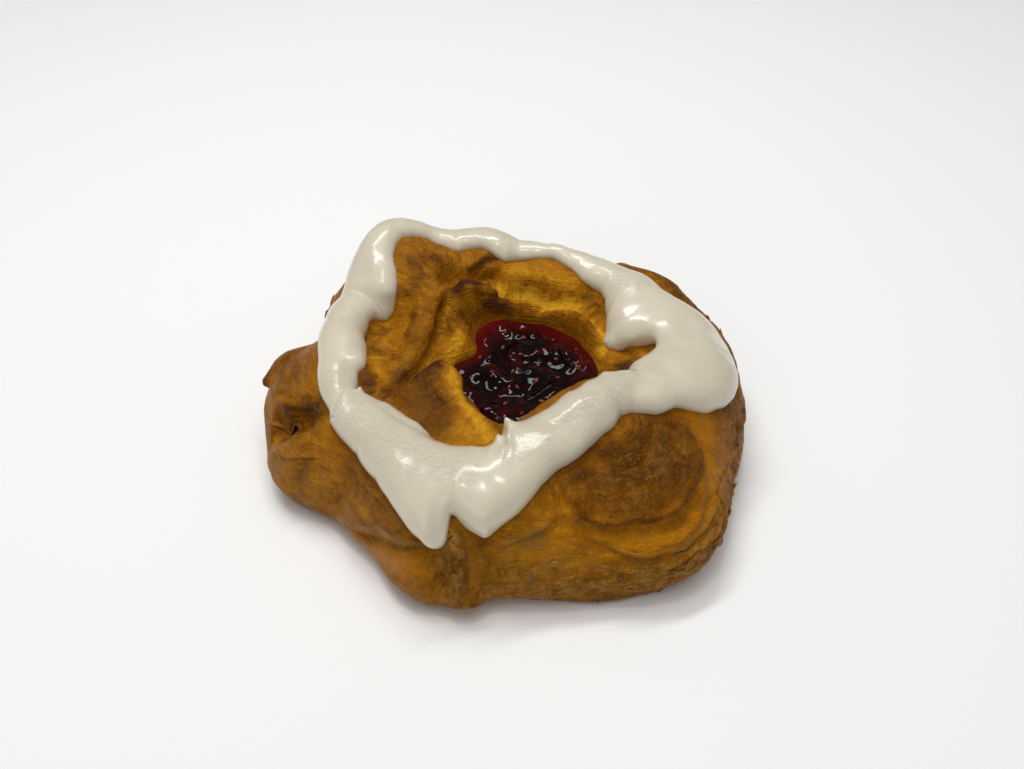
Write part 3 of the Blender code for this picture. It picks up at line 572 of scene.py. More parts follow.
def flap_of_dough(name, edge, foot, thickness, swell, columns=36, rows=14):
    """A bent sheet between its free edge and its foot, with round rims, as one closed shell."""
    edge, foot = evenly(places(edge), columns), evenly(places(foot), columns)
    down = np.linspace(0, 1, rows)[:, None, None]
    sheet = edge * (1 - down) + foot * down
    sheet[..., 2] += swell * np.sin(np.pi * down[..., 0])
    normal = np.cross(np.gradient(sheet, axis=1), np.gradient(sheet, axis=0))
    normal /= np.linalg.norm(normal, axis=-1, keepdims=True)
    normal *= np.sign(normal[..., 2].mean())
    from_end = from_ends(np.linspace(0, 1, columns)[None], FLAP_END)
    from_rim = np.clip(down[..., 0] / FLAP_RIM, 0, 1)
    round_end = np.sqrt(np.clip(1 - (1 - from_end) ** 2, 0.02, 1))
    round_rim = np.sqrt(np.clip(1 - (1 - from_rim) ** 2, 0.02, 1))
    half = (thickness / 2 * round_end * round_rim)[..., None] * normal
    tube = np.concatenate([sheet + half, (sheet - half)[::-1]])
    points = tube.transpose(1, 0, 2).reshape(-1, 3)
    return mesh_object(name, points, tube_faces(columns, 2 * rows))


def bake_in(piece):
    """Put what the modifiers make into the mesh."""
    graph = bpy.context.evaluated_depsgraph_get()
    mesh = bpy.data.meshes.new_from_object(piece.evaluated_get(graph))
    piece.modifiers.clear()
    piece.data = mesh


def joined(name, shapes):
    """One mesh object that holds all the shapes."""
    body = bmesh.new()
    for shape in shapes:
        body.from_mesh(shape.data)
        bpy.data.objects.remove(shape)
    return linked(name, mesh_of(name, body))


def points_of(mesh):
    flat = np.empty(3 * len(mesh.vertices))
    mesh.vertices.foreach_get("co", flat)
    return flat.reshape(-1, 3) / MM


def normals_of(mesh):
    flat = np.empty(3 * len(mesh.vertices))
    mesh.vertex_normals.foreach_get("vector", flat)
    return flat.reshape(-1, 3)


def move_points(mesh, points):
    mesh.vertices.foreach_set("co", (points * MM).ravel())
    mesh.update()


def neighbours(mesh):
    """Both ends of every edge, for sums over a point's neighbours."""
    ends = np.empty(2 * len(mesh.edges), int)
    mesh.edges.foreach_get("vertices", ends)
    return ends.reshape(-1, 2)


def evened(values, ends, rounds):
    """Values at the points of a mesh, each round evened out with their neighbours."""
    count = np.maximum(np.bincount(ends.ravel(), minlength=len(values)), 1)
    for _ in range(rounds):
        total = (np.bincount(ends[:, 0], values[ends[:, 1]], len(values))
                 + np.bincount(ends[:, 1], values[ends[:, 0]], len(values)))
        values = 0.5 * values + 0.5 * total / count
    return values


def near_line(points, normals, tree, path, reach):
    """Points near a line on the skin: which, how far to its left and along it, and how much they count."""
    line, facing = on_skin(evenly(places(path), 80), tree)
    low, high = line.min(axis=0) - reach, line.max(axis=0) + reach
    which = np.flatnonzero(((points > low) & (points < high)).all(axis=1))
    offset = points[which][:, None] - line[None]
    nearest = np.linalg.norm(offset, axis=2).argmin(axis=1)
    ahead = np.gradient(line, axis=0)
    ahead /= np.linalg.norm(ahead, axis=1)[:, None] + 1e-9
    left = np.cross(normals[which], ahead[nearest])
    from_line = offset[np.arange(len(which)), nearest]
    side = (from_line * left).sum(axis=1)
    far = np.linalg.norm(from_line, axis=1)
    side = np.where(side < 0, -far, far)
    share = nearest / (len(line) - 1)
    fade = np.sin(np.pi * from_ends(share, 0.3) / 2)
    fade = fade * np.clip((normals[which] * facing[nearest]).sum(axis=1) * 2.5, 0, 1)
    keep = far < reach
    return which[keep], side[keep], share[keep], fade[keep]


def marked(points, marks, tree):
    """How much of the marks, soft dabs or strokes on the tree's skin, lies on every point, from 0 to 1."""
    amount = np.zeros(len(points))
    for strength, width, path in marks:
        line = evenly(places(path), 40) if len(path) > 1 else places(path)
        line, _ = on_skin(line, tree)
        low, high = line.min(axis=0) - 2 * width, line.max(axis=0) + 2 * width
        which = np.flatnonzero(((points > low) & (points < high)).all(axis=1))
        far = np.linalg.norm(points[which][:, None] - line[None], axis=2).min(axis=1) / width
        amount[which] = np.maximum(amount[which], strength * bell(far, 3))
    return amount


def waves(points, scale, seed, detail=3):
    """Smooth noise from about -1 to 1 at points in millimetres, with features of the scale's size."""
    shift = Vector((17.3 * seed, 9.1 * seed, 4.7 * seed))
    return np.array([noise.fractal(Vector(p) / scale + shift, 1.0, 2.0, detail) for p in points])


def rolling(points, sorts):
    """Several sorts of waves together: height, size, seed and detail of each."""
    return sum(height * waves(points, *sort) for height, *sort in sorts)


def set_attribute(mesh, name, values):
    if np.ndim(values) == 2:
        layer = mesh.attributes.new(name, "FLOAT_VECTOR", "POINT")
        layer.data.foreach_set("vector", np.ascontiguousarray(values, np.float32).ravel())
    else:
        layer = mesh.attributes.new(name, "FLOAT", "POINT")
        layer.data.foreach_set("value", np.ascontiguousarray(values, np.float32))


def tree_of(piece):
    faces = [tuple(face.vertices) for face in piece.data.polygons]
    return BVHTree.FromPolygons(points_of(piece.data).tolist(), faces)


def mark_crust(mesh, tree, fold, edge):
    """Attributes for the crust's colours: where it folds, ends, stands out, how it is baked, and where shade
    is painted in its folds, hollow and creases.
    """
    points, normals, ends = points_of(mesh), normals_of(mesh), neighbours(mesh)
    level = points
    for name, rounds, full in (("stands_out", 4, 0.12), ("stands_wide", 26, 0.7)):
        level = np.stack([evened(level[:, k], ends, rounds) for k in range(3)], axis=1)
        set_attribute(mesh, name, np.clip(((points - level) * normals).sum(axis=1) / full, -1, 1))
    set_attribute(mesh, "fold", np.clip(fold, 0, 1))
    set_attribute(mesh, "edge", np.clip(edge, 0, 1))
    uneven = points + 0.8 * np.stack([waves(points, 2.5, seed, 2) for seed in (41, 42, 43)], axis=1)
    for name, marks in MARKS.items():
        set_attribute(mesh, name, marked(uneven, marks, tree))

    # Places stretched along the grain, so that noise read there runs with the layers of dough.
    azimuth, distance, height, radius = DOME
    from_dome = np.linalg.norm(points - place(azimuth, distance, height), axis=1)
    in_dome = np.clip(1.5 - from_dome / radius, 0, 1)
    layer = (1 - in_dome) * points[:, 2] + in_dome * (height - 0.8 * from_dome)
    set_attribute(mesh, "along_layers", np.stack([0.12 * points[:, 0], 0.12 * points[:, 1], layer], axis=1))
    away = points[:, :2] - WELL_CENTRE
    distance = np.linalg.norm(away, axis=1)[:, None] + 1e-6
    along_ribs = np.hstack([30 * away / distance, 0.25 * points[:, 2:] + 0.2 * distance])
    set_attribute(mesh, "along_ribs", along_ribs)


def crust_mesh(voxel):
    """The dough in one fine skin, with its folds, the edges of its layers and the marks of baking and of
    painted shade.
    """
    shapes = [body_of_dough()]
    shapes += [roll_of_dough(name, stations) for name, stations in ROLLS.items()]
    shapes += [flap_of_dough(name, **flap) for name, flap in FLAPS.items()]
    piece = joined("crust", shapes)
    skin = piece.modifiers.new("one skin", "REMESH")
    skin.mode = "VOXEL"
    skin.voxel_size = voxel * MM
    smooth = piece.modifiers.new("soft joints", "SMOOTH")
    smooth.factor, smooth.iterations = 0.5, SKIN_ROUNDS
    bake_in(piece)

    points, normals, tree = points_of(piece.data), normals_of(piece.data), tree_of(piece)
    push, fold = np.zeros(len(points)), np.zeros(len(points))
    for depth, width, path in (*CREASES.values(), *FINE_CREASES.values()):
        which, side, share, fade = near_line(points, normals, tree, path, 2.5 * width)
        side = side + 0.25 * width * np.sin(14 * share + 5 * width)
        push[which] -= depth * fade * bell(side / width)
        fold[which] = np.maximum(fold[which], fade * bell(side / (0.5 * width)))
    for height, reach, path in LAYERS.values():
        which, side, share, fade = near_line(points, normals, tree, path, reach)
        side = side + 0.4 * np.sin(23 * share + reach) + 0.2 * np.sin(51 * share + 2 * reach)
        rise = np.clip(1 - np.abs(side) / reach, 0, 1) ** 1.5 * np.clip(np.abs(side) / 0.5, 0, 1)
        push[which] += height * fade * rise * np.where(side > 0, STEP_UP, -STEP_DOWN)
        fold[which] = np.maximum(fold[which], 0.5 * fade * bell((side + 0.5) / 0.8))
    flaky = marked(points, MARKS["flaky"], tree)
    swell, ripple = SKIN_WAVES
    push += swell * waves(points, 9, 1, 2) + ripple * waves(points, 3.4, 2, 2) * (1 + 1.2 * flaky)
    wrinkled = waves(points * (1, 1, 2.2), 4.0, 5, 2)
    push += (0.25 + flaky) * SKIN_WRINKLES * (0.3 - np.clip(np.abs(wrinkled), 0, 0.3))
    inside = np.clip((points[:, 2] - 2) / 4, 0, 1)
    points = points + normals * (push * inside)[:, None]
    points[:, 2] = np.where(points[:, 2] < TABLE_REACH, 0, points[:, 2])
    move_points(piece.data, points)
    mark_crust(piece.data, tree, fold, np.zeros(len(points)))
    return piece


def on_skin(points, tree):
    """The places on a skin that are nearest to the points, and its normals there."""
    found = [tree.find_nearest(Vector(p))[:2] for p in points]
    return np.array([tuple(f[0]) for f in found]), np.array([tuple(f[1]) for f in found])


def leaf_of_dough(tree, reach, lift, path, seed, rows=9, thickness=0.35):
    """Points, faces and rim of a thin leaf that grows out of the skin uphill and lifts off at its rim."""
    line, normals = on_skin(evenly(places(path), 60), tree)
    length = np.linalg.norm(np.diff(line, axis=0), axis=1).sum()
    columns = int(length / LEAF_STEP)
    line, normals = evenly(soften(line, 3, False), columns), evenly(soften(normals, 6, False), columns)
    ahead = np.gradient(line, axis=0)
    uphill = np.cross(normals, ahead)
    uphill /= np.linalg.norm(uphill, axis=1)[:, None]
    share = np.linspace(0, 1, columns)
    fade = np.sin(np.pi / 2 * from_ends(share, 0.3))
    ragged = waves(line, 2.2, seed, 3) * 0.3 + waves(line, 8, seed + 9, 1) * 0.7
    down = np.linspace(0, 1, rows) ** 1.4
    across = (ragged * (1 - down[:, None]) + (reach * fade + 0.3) * down[:, None])[..., None]
    base, facing = on_skin((line + uphill * across).reshape(-1, 3), tree)
    facing = soften(facing.reshape(rows, columns, 3), 5, False)
    base = soften(base.reshape(rows, columns, 3), 2, False)
    waving = 1 + 0.7 * waves(line, 5, seed + 4, 2)
    rise = 0.6 * lift * fade * waving * (1 - down[:, None]) ** 1.5 - 0.5 * down[:, None] - 0.25 * (1 - fade)
    middle = base + facing * rise[..., None]
    half = (thickness / 2 * np.sqrt(np.clip(down / 0.12, 0.1, 1)))[:, None, None] * facing
    tube = np.concatenate([middle + half, (middle - half)[::-1]]).transpose(1, 0, 2)
    rim = np.concatenate([1 - down, (1 - down)[::-1]])
    return tube.reshape(-1, 3), tube_faces(columns, 2 * rows), np.tile(rim, columns)


def leaves_mesh(crust):
    """All the thin leaves of dough that end on the crust."""
    tree = tree_of(crust)
    points, faces, rims, total = [], [], [], 0
    for seed, (reach, lift, path) in enumerate(LEAVES.values()):
        leaf, leaf_faces, rim = leaf_of_dough(tree, reach, lift, path, seed + 30)
        points.append(leaf)
        rims.append(rim)
        faces += [tuple(total + i for i in face) for face in leaf_faces]
        total += len(leaf)
    points = np.vstack(points)
    points[:, 2] = np.maximum(points[:, 2], LEAVES_LOWEST)
    piece = mesh_object("crust_leaves", points, faces)
    mark_crust(piece.data, tree, np.zeros(total), np.clip(np.concatenate(rims) * 1.8 - 0.8, 0, 1))
    return piece


def ground_under(base, columns, step=0.5, inside=13.0, outside=59.0):
    """A function that reads heights and normals of the base's upper surface, evened out, at any places."""
    tree = tree_of(base)
    turns, distances = np.linspace(0, 360, columns, endpoint=False), np.arange(inside, outside, step)
    heights = np.zeros((columns, len(distances)))
    for row, turn in enumerate(turns):
        for column, (x, y, _) in enumerate(place(turn, distances, 0)):
            found = tree.ray_cast(Vector((x, y, 100)), Vector((0, 0, -1)))[0]
            heights[row, column] = found.z if found else heights[row, column - 1] - 2 * step
    heights = soften_grid(heights, 5)
    slope_out = np.gradient(soften_grid(heights, 20), step, axis=1)
    longer = np.vstack([heights[-1:], heights, heights[:1]])
    slope_round = soften_grid((longer[2:] - longer[:-2]) / 2, 20) / (np.radians(360 / columns) * distances)

    def read(azimuth, distance):
        row = np.asarray(azimuth) % 360 * columns / 360
        column = np.clip((distance - inside) / step, 0, len(distances) - 1.001)
        low_row, low_column = np.floor(row).astype(int), np.floor(column).astype(int)
        a, b = row - low_row, column - low_column
        values = []
        for grid in (heights, slope_out, slope_round):
            near = grid[low_row % columns, low_column] * (1 - b) + grid[low_row % columns, low_column + 1] * b
            next_row = (low_row + 1) % columns
            far = grid[next_row, low_column] * (1 - b) + grid[next_row, low_column + 1] * b
            values.append(near * (1 - a) + far * a)
        height, out, round_it = values
        angle = np.radians(azimuth)
        normal = np.stack([-out * np.cos(angle) + round_it * np.sin(angle),
                           -out * np.sin(angle) - round_it * np.cos(angle), np.ones_like(out)], axis=-1)
        return height, normal / np.linalg.norm(normal, axis=-1, keepdims=True)

    return read


def nearest_of(points, line):
    """How far every point is from the nearest place of a line."""
    tree = KDTree(len(line))
    for number, spot in enumerate(line):
        tree.insert(spot, number)
    tree.balance()
    return np.array([tree.find(spot)[2] for spot in points])


def soften(values, rounds, closed=True):
    """Rows of values evened out with their neighbours, along a closed or an open first axis and across."""
    for _ in range(rounds):
        if closed:
            longer = np.concatenate([values[-1:], values, values[:1]])
        else:
            longer = np.concatenate([values[:1], values, values[-1:]])
        along = longer[:-2] + longer[2:]
        if values.ndim == 3:
            wider = np.concatenate([values[:, :1], values, values[:, -1:]], axis=1)
            values = 0.4 * values + 0.15 * along + 0.15 * (wider[:, :-2] + wider[:, 2:])
        else:
            values = 0.5 * values + 0.25 * along
    return values


def soften_grid(values, rounds):
    """A closed grid of single values evened out both ways."""
    return soften(values[..., None], rounds)[..., 0]


def icing_mesh(base, columns, across):
    """A closed ring of icing that lies on the base, with its seams, blobs and spikes."""
    azimuth = np.linspace(0, 360, columns, endpoint=False)
    ripple = sum(high * np.sin(np.radians(azimuth * times + start)) for high, times, start in ICING_RIPPLES)
    inner = edge_at(azimuth, ICING_INNER) + ripple
    outer = edge_at(azimuth, ICING_OUTER) + np.roll(ripple, columns // 7)
    share = (1 - np.cos(np.linspace(0, np.pi, across))) / 2
    distance = inner[:, None] + (outer - inner)[:, None] * share
    read = ground_under(base, columns)
    turn = leaned(azimuth[:, None], distance)
    heights, normals = read(turn, distance)
    ground = np.dstack([place(turn, distance, 0)[..., :2], heights])
    fine = np.linspace(0, 360, 4 * columns, endpoint=False)
    rim = []
    for edge in (inner, outer):
        reach = np.interp(fine, azimuth, edge, period=360)
        turn = leaned(fine, reach)
        rim.append(np.column_stack([place(turn, reach, 0)[:, :2], read(turn, reach)[0]]))
    from_edge = nearest_of(ground.reshape(-1, 3), np.vstack(rim)).reshape(columns, across)
    section = np.sqrt(1 - (1 - np.clip(from_edge / ICING_ROUND, 0, 1)) ** 2)
    section[:, (0, -1)] = 0
    middle, spread, thicker = ICING_FLOW
    flow = thicker * bell((azimuth - middle) / spread)
    height = lobed(azimuth, ICING_HEIGHT, ICING_THINNER)[:, None] * (1 + flow[:, None] * share[None])
    for middle, wander, step, ridge_width, ridge_height, across_to in SEAMS.values():
        line = middle + wander * np.sin(5.5 * share[None] + middle) + 0.6 * np.sin(17 * share[None])
        past = (azimuth[:, None] - line + 180) % 360 - 180
        here = np.clip((across_to - share[None]) / 0.25, 0, 1)
        stepped = np.where(past > 0, np.exp(-past / 9), -0.5 * np.exp(past / 5))
        height += here * step * stepped * np.clip(np.abs(past) / 0.7, 0, 1)
        height += here * ridge_height * bell(past / ridge_width) * (0.6 + 0.4 * np.sin(29 * share[None]))
    flat = (ground + normals * (height * section)[..., None]).reshape(-1, 3)
    lift, spikes = np.zeros(len(flat)), np.zeros(len(flat))
    for blob in ICING_BLOBS:
        far = np.linalg.norm(flat - place(*blob[:3]), axis=1) / blob[3]
        lift += blob[4] * bell(far)
    for spike in ICING_SPIKES:
        far = np.linalg.norm((flat - place(*spike[:3]))[:, :2], axis=1) / spike[3]
        spikes += spike[4] * bell(far, 1.5)
    lift += rolling(flat, ICING_WAVES)
    height = height * section + lift.reshape(columns, across) * section**0.5
    height = (soften_grid(height, 2) + spikes.reshape(columns, across)) * (section > 0)
    top = ground + normals * height[..., None]
    bottom = ground - normals * (ICING_SKIRT * np.sqrt(section))[..., None]
    ring = np.concatenate([top, bottom[:, -2:0:-1]], axis=1)
    rows = ring.shape[1]
    faces = []
    for i in range(columns):
        for j in range(rows):
            a, b = i * rows + j, i * rows + (j + 1) % rows
            c, d = (i + 1) % columns * rows + (j + 1) % rows, (i + 1) % columns * rows + j
            faces.append((a, b, c, d))
    piece = mesh_object("icing_ring", ring.reshape(-1, 3), faces)
    set_attribute(piece.data, "wrinkled", marked(points_of(piece.data), WRINKLED, tree_of(piece)))
    return piece


def jam_mesh(columns, rings):
    """The jam: a lumpy pool in the well, higher at the back, with strands of skin."""
    azimuth = np.linspace(0, 360, columns, endpoint=False)
    edge, _ = well_at(azimuth)
    loops = []
    for share in np.linspace(0.01, 1.08, rings):
        wave = 0.5 * np.sin(3 * np.radians(azimuth) + 9 * share) * min(1, 4 * share)
        tilt = JAM_TILT * share * np.sin(np.radians(azimuth))
        drop = 0.8 * max(0.0, share - 0.85) / 0.3
        loops.append(place(azimuth, share * edge, JAM_LEVEL + wave + tilt - drop))
    top = np.vstack(loops)
    flat = top[:, :2].copy()
    lift = rolling(top * (1, 1, 0), JAM_WAVES)
    for spot, distance, radius, height in JAM_LUMPS:
        far = np.linalg.norm(flat - place(spot, distance, 0)[:2], axis=1) / radius
        lift += height * bell(far, 2.5)
    for width, height, path in JAM_STRANDS:
        line = evenly(places([(*row, 0) for row in path]), 60)[:, :2]
        far = np.linalg.norm(flat[:, None] - line[None], axis=2)
        along = far.argmin(axis=1) / (len(line) - 1)
        beads = 1 + 0.3 * np.sin(40 * along)
        lift += height * np.sqrt(from_ends(along, 0.15)) * beads * bell(far.min(axis=1) / width)
    top[:, 2] += lift
    floor = [place(azimuth, 1.04 * edge, WELL_FLOOR), place(azimuth, 0.02 * edge, WELL_FLOOR - 1)]
    return mesh_object("jam_pool", np.vstack([top, *floor]), tube_faces(rings + 2, columns))


# ---------------------------------------------------------------- node writing


class Socket:
    """An output of a node that adds Math nodes when it is used in an expression."""

    def __init__(self, maker, output):
        self.maker, self.output = maker, output

    def _with(self, operation, *values, clamp=False):
        return self.maker.add("ShaderNodeMath", {"operation": operation, "use_clamp": clamp}, values)

    def __add__(self, other):
        return self._with("ADD", self, other)

    def __mul__(self, other):
        return self._with("MULTIPLY", self, other)

    def __sub__(self, other):
        return self._with("SUBTRACT", self, other)

    def __rsub__(self, other):
        return self._with("SUBTRACT", other, self)

    __radd__ = __add__
    __rmul__ = __mul__

    def clamped(self):
        return self._with("ADD", self, 0.0, clamp=True)

    def between(self, low, high):
        """0 below low, 1 above high and a smooth step between them."""
        return self.maker.add("ShaderNodeMapRange", {"interpolation_type": "SMOOTHSTEP"},
                              {"Value": self, "From Min": low, "From Max": high})

    def beside(self, name):
        """Another output of the same node."""
        return Socket(self.maker, self.output.node.outputs[name])


class NodeMaker:
    """Adds nodes to one node tree."""

    def __init__(self, tree):
        self.tree = tree

    def add(self, kind, settings=None, values=(), output=0):
        """One output of a new node of a type, with its settings and the values or links of its sockets."""
        node = self.tree.nodes.new(kind)
        for key, value in (settings or {}).items():
            setattr(node, key, value)
        for key, value in values.items() if isinstance(values, dict) else enumerate(values):
            if isinstance(value, Socket):
                self.tree.links.new(value.output, node.inputs[key])
            else:
                node.inputs[key].default_value = value
        return Socket(self, node.outputs[output])

    def attribute(self, name, output=2):
        return self.add("ShaderNodeAttribute", {"attribute_name": name}, output=output)

    def noise(self, where, scale, detail=3.0, roughness=0.55, distortion=0.0):
        return self.add("ShaderNodeTexNoise", {}, {"Vector": where, "Scale": scale, "Detail": detail,
                                                   "Roughness": roughness, "Distortion": distortion})

    def stretched(self, where, factors, turn=(0, 0, 0)):
        return self.add("ShaderNodeMapping", {}, {"Vector": where, "Scale": factors, "Rotation": turn})

    def mix(self, factor, one, two):
        """Colour one where the factor is 0 and colour two where it is 1."""
        node = self.tree.nodes.new("ShaderNodeMix")
        node.data_type, node.clamp_factor = "RGBA", True
        for key, value in ((0, factor), (6, one), (7, two)):
            if isinstance(value, Socket):
                self.tree.links.new(value.output, node.inputs[key])
            else:
                node.inputs[key].default_value = value if key == 0 else (*value[:3], 1)
        return Socket(self, node.outputs[2])

    def ramp(self, factor, stops):
        """A colour along stops of (place, colour)."""
        node = self.tree.nodes.new("ShaderNodeValToRGB")
        ramp = node.color_ramp
        while len(ramp.elements) < len(stops):
            ramp.elements.new(0.5)
        for element, (at, colour) in zip(ramp.elements, stops):
            element.position, element.color = at, (*colour[:3], 1)
        self.tree.links.new(factor.output, node.inputs[0])
        return Socket(self, node.outputs[0])


def material(name, constants):
    """A material with one Principled shader, its constant values set, and a maker for its other nodes."""
    made = bpy.data.materials.new(name)
    made.use_nodes = True
    tree = made.node_tree
    tree.nodes.clear()
    maker = NodeMaker(tree)
    shader = tree.nodes.new("ShaderNodeBsdfPrincipled")
    for key, value in constants.items():
        shader.inputs[key].default_value = value
    out = tree.nodes.new("ShaderNodeOutputMaterial")
    tree.links.new(shader.outputs[0], out.inputs[0])
    where = maker.add("ShaderNodeTexCoord", output=3)
    return made, maker, shader, where


def plug(maker, shader, name, value):
    maker.tree.links.new(value.output, shader.inputs[name])


def bump(maker, height, strength, distance):
    return maker.add("ShaderNodeBump", {},
                     {"Strength": strength, "Distance": distance * MM, "Height": height})


def linear(colour, full=255):
    """A colour as seen on screen, whose greatest value is full, as a scene colour."""
    value = np.asarray(colour, float) / full
    return tuple(np.where(value <= 0.04045, value / 12.92, ((value + 0.055) / 1.055) ** 2.4))


def crust_material(looks):
    made, maker, shader, where = material("baked_crust", {
        "Specular IOR Level": 0.26, "Specular Tint": (1.0, 0.66, 0.2, 1), "Coat Roughness": 0.3,
        "Subsurface Weight": 0.08, "Subsurface Scale": 0.0012, "Subsurface Radius": (1.0, 0.4, 0.15)})
    patches = maker.noise(where, 70, 3, 0.6)
    mottle = maker.noise(where, 330, 4, 0.62, 0.3)
    specks = maker.noise(where, 1250, 3, 0.62, 0.2)
    along_layers = maker.attribute("along_layers", 1)
    layers = maker.noise(along_layers, 0.9, 4, 0.62, 0.35)
    fine_layers = maker.noise(along_layers, 2.6, 3, 0.6, 0.3)
    ribs = maker.noise(maker.attribute("along_ribs", 1), 0.6, 4, 0.6, 0.5)
    ribbed = maker.attribute("ribbed")
    grain = layers * (1 - ribbed) + ribs * ribbed
    out, wide = maker.attribute("stands_out"), maker.attribute("stands_wide")
    fold, edge, flaky = maker.attribute("fold"), maker.attribute("edge"), maker.attribute("flaky")
    cracked = ((flaky * 1.5 - 0.4) * (1 - ribbed)).clamped()
    stain, baked_dark_and_shade, pale = maker.attribute("stain"), maker.attribute("baked_dark_and_shade"), maker.attribute("pale")
    gold, unbaked = maker.attribute("gold"), maker.attribute("unbaked")
    height = maker.add("ShaderNodeSeparateXYZ", {}, {"Vector": where}, output=2)

    rough_skin = 1 - gold * 0.35 - pale * 0.4
    noise = ((patches - 0.5) * 0.22 + (mottle - 0.5) * 0.5 + (grain - 0.5) * 0.5
             + (ribs - 0.5) * ribbed * 0.35 + (specks - 0.5) * 0.7 + (fine_layers - 0.5) * 0.55)
    # the dark marks add both deeper baking and painted shade in the hollow under the tip and along creases
    baked = (looks.baking + noise * rough_skin
             + wide * 0.06 + out * 0.12 + edge * 0.06 + baked_dark_and_shade * 0.5 - pale * 0.5 - gold * 0.15 - flaky * 0.05)
    tones = (looks.pale, looks.golden, looks.brown, looks.deep, looks.burnt)
    colour = maker.ramp(baked.clamped(), [(0.25 * step, linear(tone, 1)) for step, tone in enumerate(tones)])
    blisters = maker.add("ShaderNodeTexVoronoi", {"feature": "DISTANCE_TO_EDGE"}, {
        "Vector": maker.stretched(where, (1, 1, 2.0), (0.2, 0.5, 0)), "Scale": 520.0, "Randomness": 1.0})
    tan_flecks_and_highlights = (specks * 0.55 + fine_layers * 0.45).between(0.5, 0.62)
    chips = maker.noise(maker.stretched(where, (1, 1, 0.8), (0, 0, 0.4)), 440, 3, 0.55, 0.5)
    for amount, tone in (
        (gold * 0.4, linear(looks.gold, 1)),
        # lighter tan on raised specks, chips, ribs and leaf rims, darker in low chips, ribs and blister
        # cracks: partly the flaky crust's own colour, partly painted highlight and painted shade on its
        # relief
        (tan_flecks_and_highlights * (0.32 + flaky * 0.5 - gold * 0.2 - ribbed * 0.15), linear((160, 116, 42))),
        (flaky * chips.between(0.5, 0.6) * 0.7, linear((164, 122, 62))),
        (flaky * chips.between(0.5, 0.38) * 0.5, linear((88, 48, 6))),
        (flaky * ribbed * ribs.between(0.5, 0.62) * 0.7, linear((160, 116, 56))),
        (flaky * ribbed * ribs.between(0.5, 0.38) * 0.6, linear((78, 38, 4))),
        (edge * specks.between(0.35, 0.6) * 0.5, linear((164, 118, 58))),
        (cracked * blisters.between(0.18, 0.0) * 0.3, linear((84, 48, 8))),
        (grain.between(0.58, 0.74) * 0.3, linear((92, 50, 4))),
        # painted shade in the creases and at the steps of layers where the fold mark lies
        (fold * (mottle.between(0.3, 0.7) * 0.35 + 0.3), linear((74, 36, 4))),
        ((height * 1000).between(3.0, 0.2) * 0.4, linear((92, 56, 20))),
        (unbaked * mottle.between(0.3, 0.6) * 0.7, linear((112, 100, 58))),
        ((stain * (mottle * 0.6 + 0.75)).clamped() * 0.95, linear((56, 18, 20))),
    ):
        colour = maker.mix(amount, colour, tone)
    plug(maker, shader, "Base Color", colour)
    rough = 0.46 + (mottle - 0.5) * 0.4 + flaky * 0.16 + pale * 0.06 - gold * 0.08
    plug(maker, shader, "Roughness", rough.clamped())
    plug(maker, shader, "Coat Weight", ((1 - flaky) * 0.03 * patches.between(0.35, 0.65)).clamped())
    relief = (grain * 0.9 + mottle * 0.5 + specks * 0.34 + fine_layers * 0.5
              + cracked * blisters.between(0.0, 0.2) * 0.35 + flaky * chips * 0.9 + flaky * specks * 0.4)
    plug(maker, shader, "Normal", bump(maker, relief, 0.9, 0.9))
    return made


def icing_material(looks):
    made, maker, shader, where = material("sugar_icing", {
        "Specular IOR Level": 0.5, "Coat Roughness": 0.16, "Subsurface Weight": 0.25,
        "Subsurface Scale": 0.0025, "Subsurface Radius": (1.0, 0.8, 0.55)})
    broad = maker.noise(where, 60, 3, 0.55)
    fine = maker.noise(where, 420, 3, 0.6, 0.4)
    colour = maker.mix((broad - 0.3).clamped() * 0.9, linear(looks.icing, 1), linear(looks.icing_shade, 1))
    plug(maker, shader, "Base Color", colour)
    plug(maker, shader, "Roughness", (0.36 + (broad - 0.5) * 0.3 + (fine - 0.5) * 0.16).clamped())
    plug(maker, shader, "Coat Weight", broad.between(0.35, 0.6) * 0.5 + 0.35)
    wrinkles = maker.noise(maker.stretched(where, (1.0, 2.0, 1.0), (0, 0, 0.7)), 760, 3, 0.6, 1.0)
    wrinkled = maker.attribute("wrinkled")
    plug(maker, shader, "Normal", bump(maker, broad * 0.6 + fine * 0.1 + wrinkles * wrinkled * 0.8, 0.6, 1.1))
    return made


def jam_material(looks):
    made, maker, shader, where = material("fruit_jam", {
        "Specular IOR Level": 0.16,
        "Subsurface Weight": 0.1, "Subsurface Scale": 0.002, "Subsurface Radius": (1.0, 0.12, 0.08)})
    lumps = maker.noise(where, 190, 2, 0.5, 0.8)
    fine = maker.noise(where, 700, 2, 0.5, 0.5)
    thin = maker.attribute("thin")
    bright = (lumps.between(0.52, 0.8) * 0.5 + thin).clamped()
    plug(maker, shader, "Base Color", maker.mix(bright, linear(looks.jam, 1), linear(looks.jam_bright, 1)))
    plug(maker, shader, "Roughness", (0.04 + lumps * 0.06).clamped())
    plug(maker, shader, "Normal", bump(maker, lumps + fine * 0.12, 0.36, 0.6))
    return made


def seed_material():
    made, maker, shader, where = material("fruit_seed", {"Specular IOR Level": 0.3, "Coat Weight": 0.2,
                                                         "Coat Roughness": 0.15})
    tone = maker.noise(where, 600, 2, 0.5)
    plug(maker, shader, "Base Color", maker.mix(tone, linear((84, 28, 12)), linear((140, 66, 28))))
    plug(maker, shader, "Roughness", (0.3 + tone * 0.2).clamped())
    return made


def floor_material(looks):
    made, maker, shader, where = material("pale_floor", {"Specular IOR Level": 0.2})
    tone = maker.noise(where, 3, 2, 0.5)
    shade = tuple(looks.floor)
    plug(maker, shader, "Base Color", maker.mix(tone, shade, tuple(0.99 * value for value in shade)))
    plug(maker, shader, "Roughness", 0.85 + tone * 0.05)
    return made


# ---------------------------------------------------------------- what is scattered


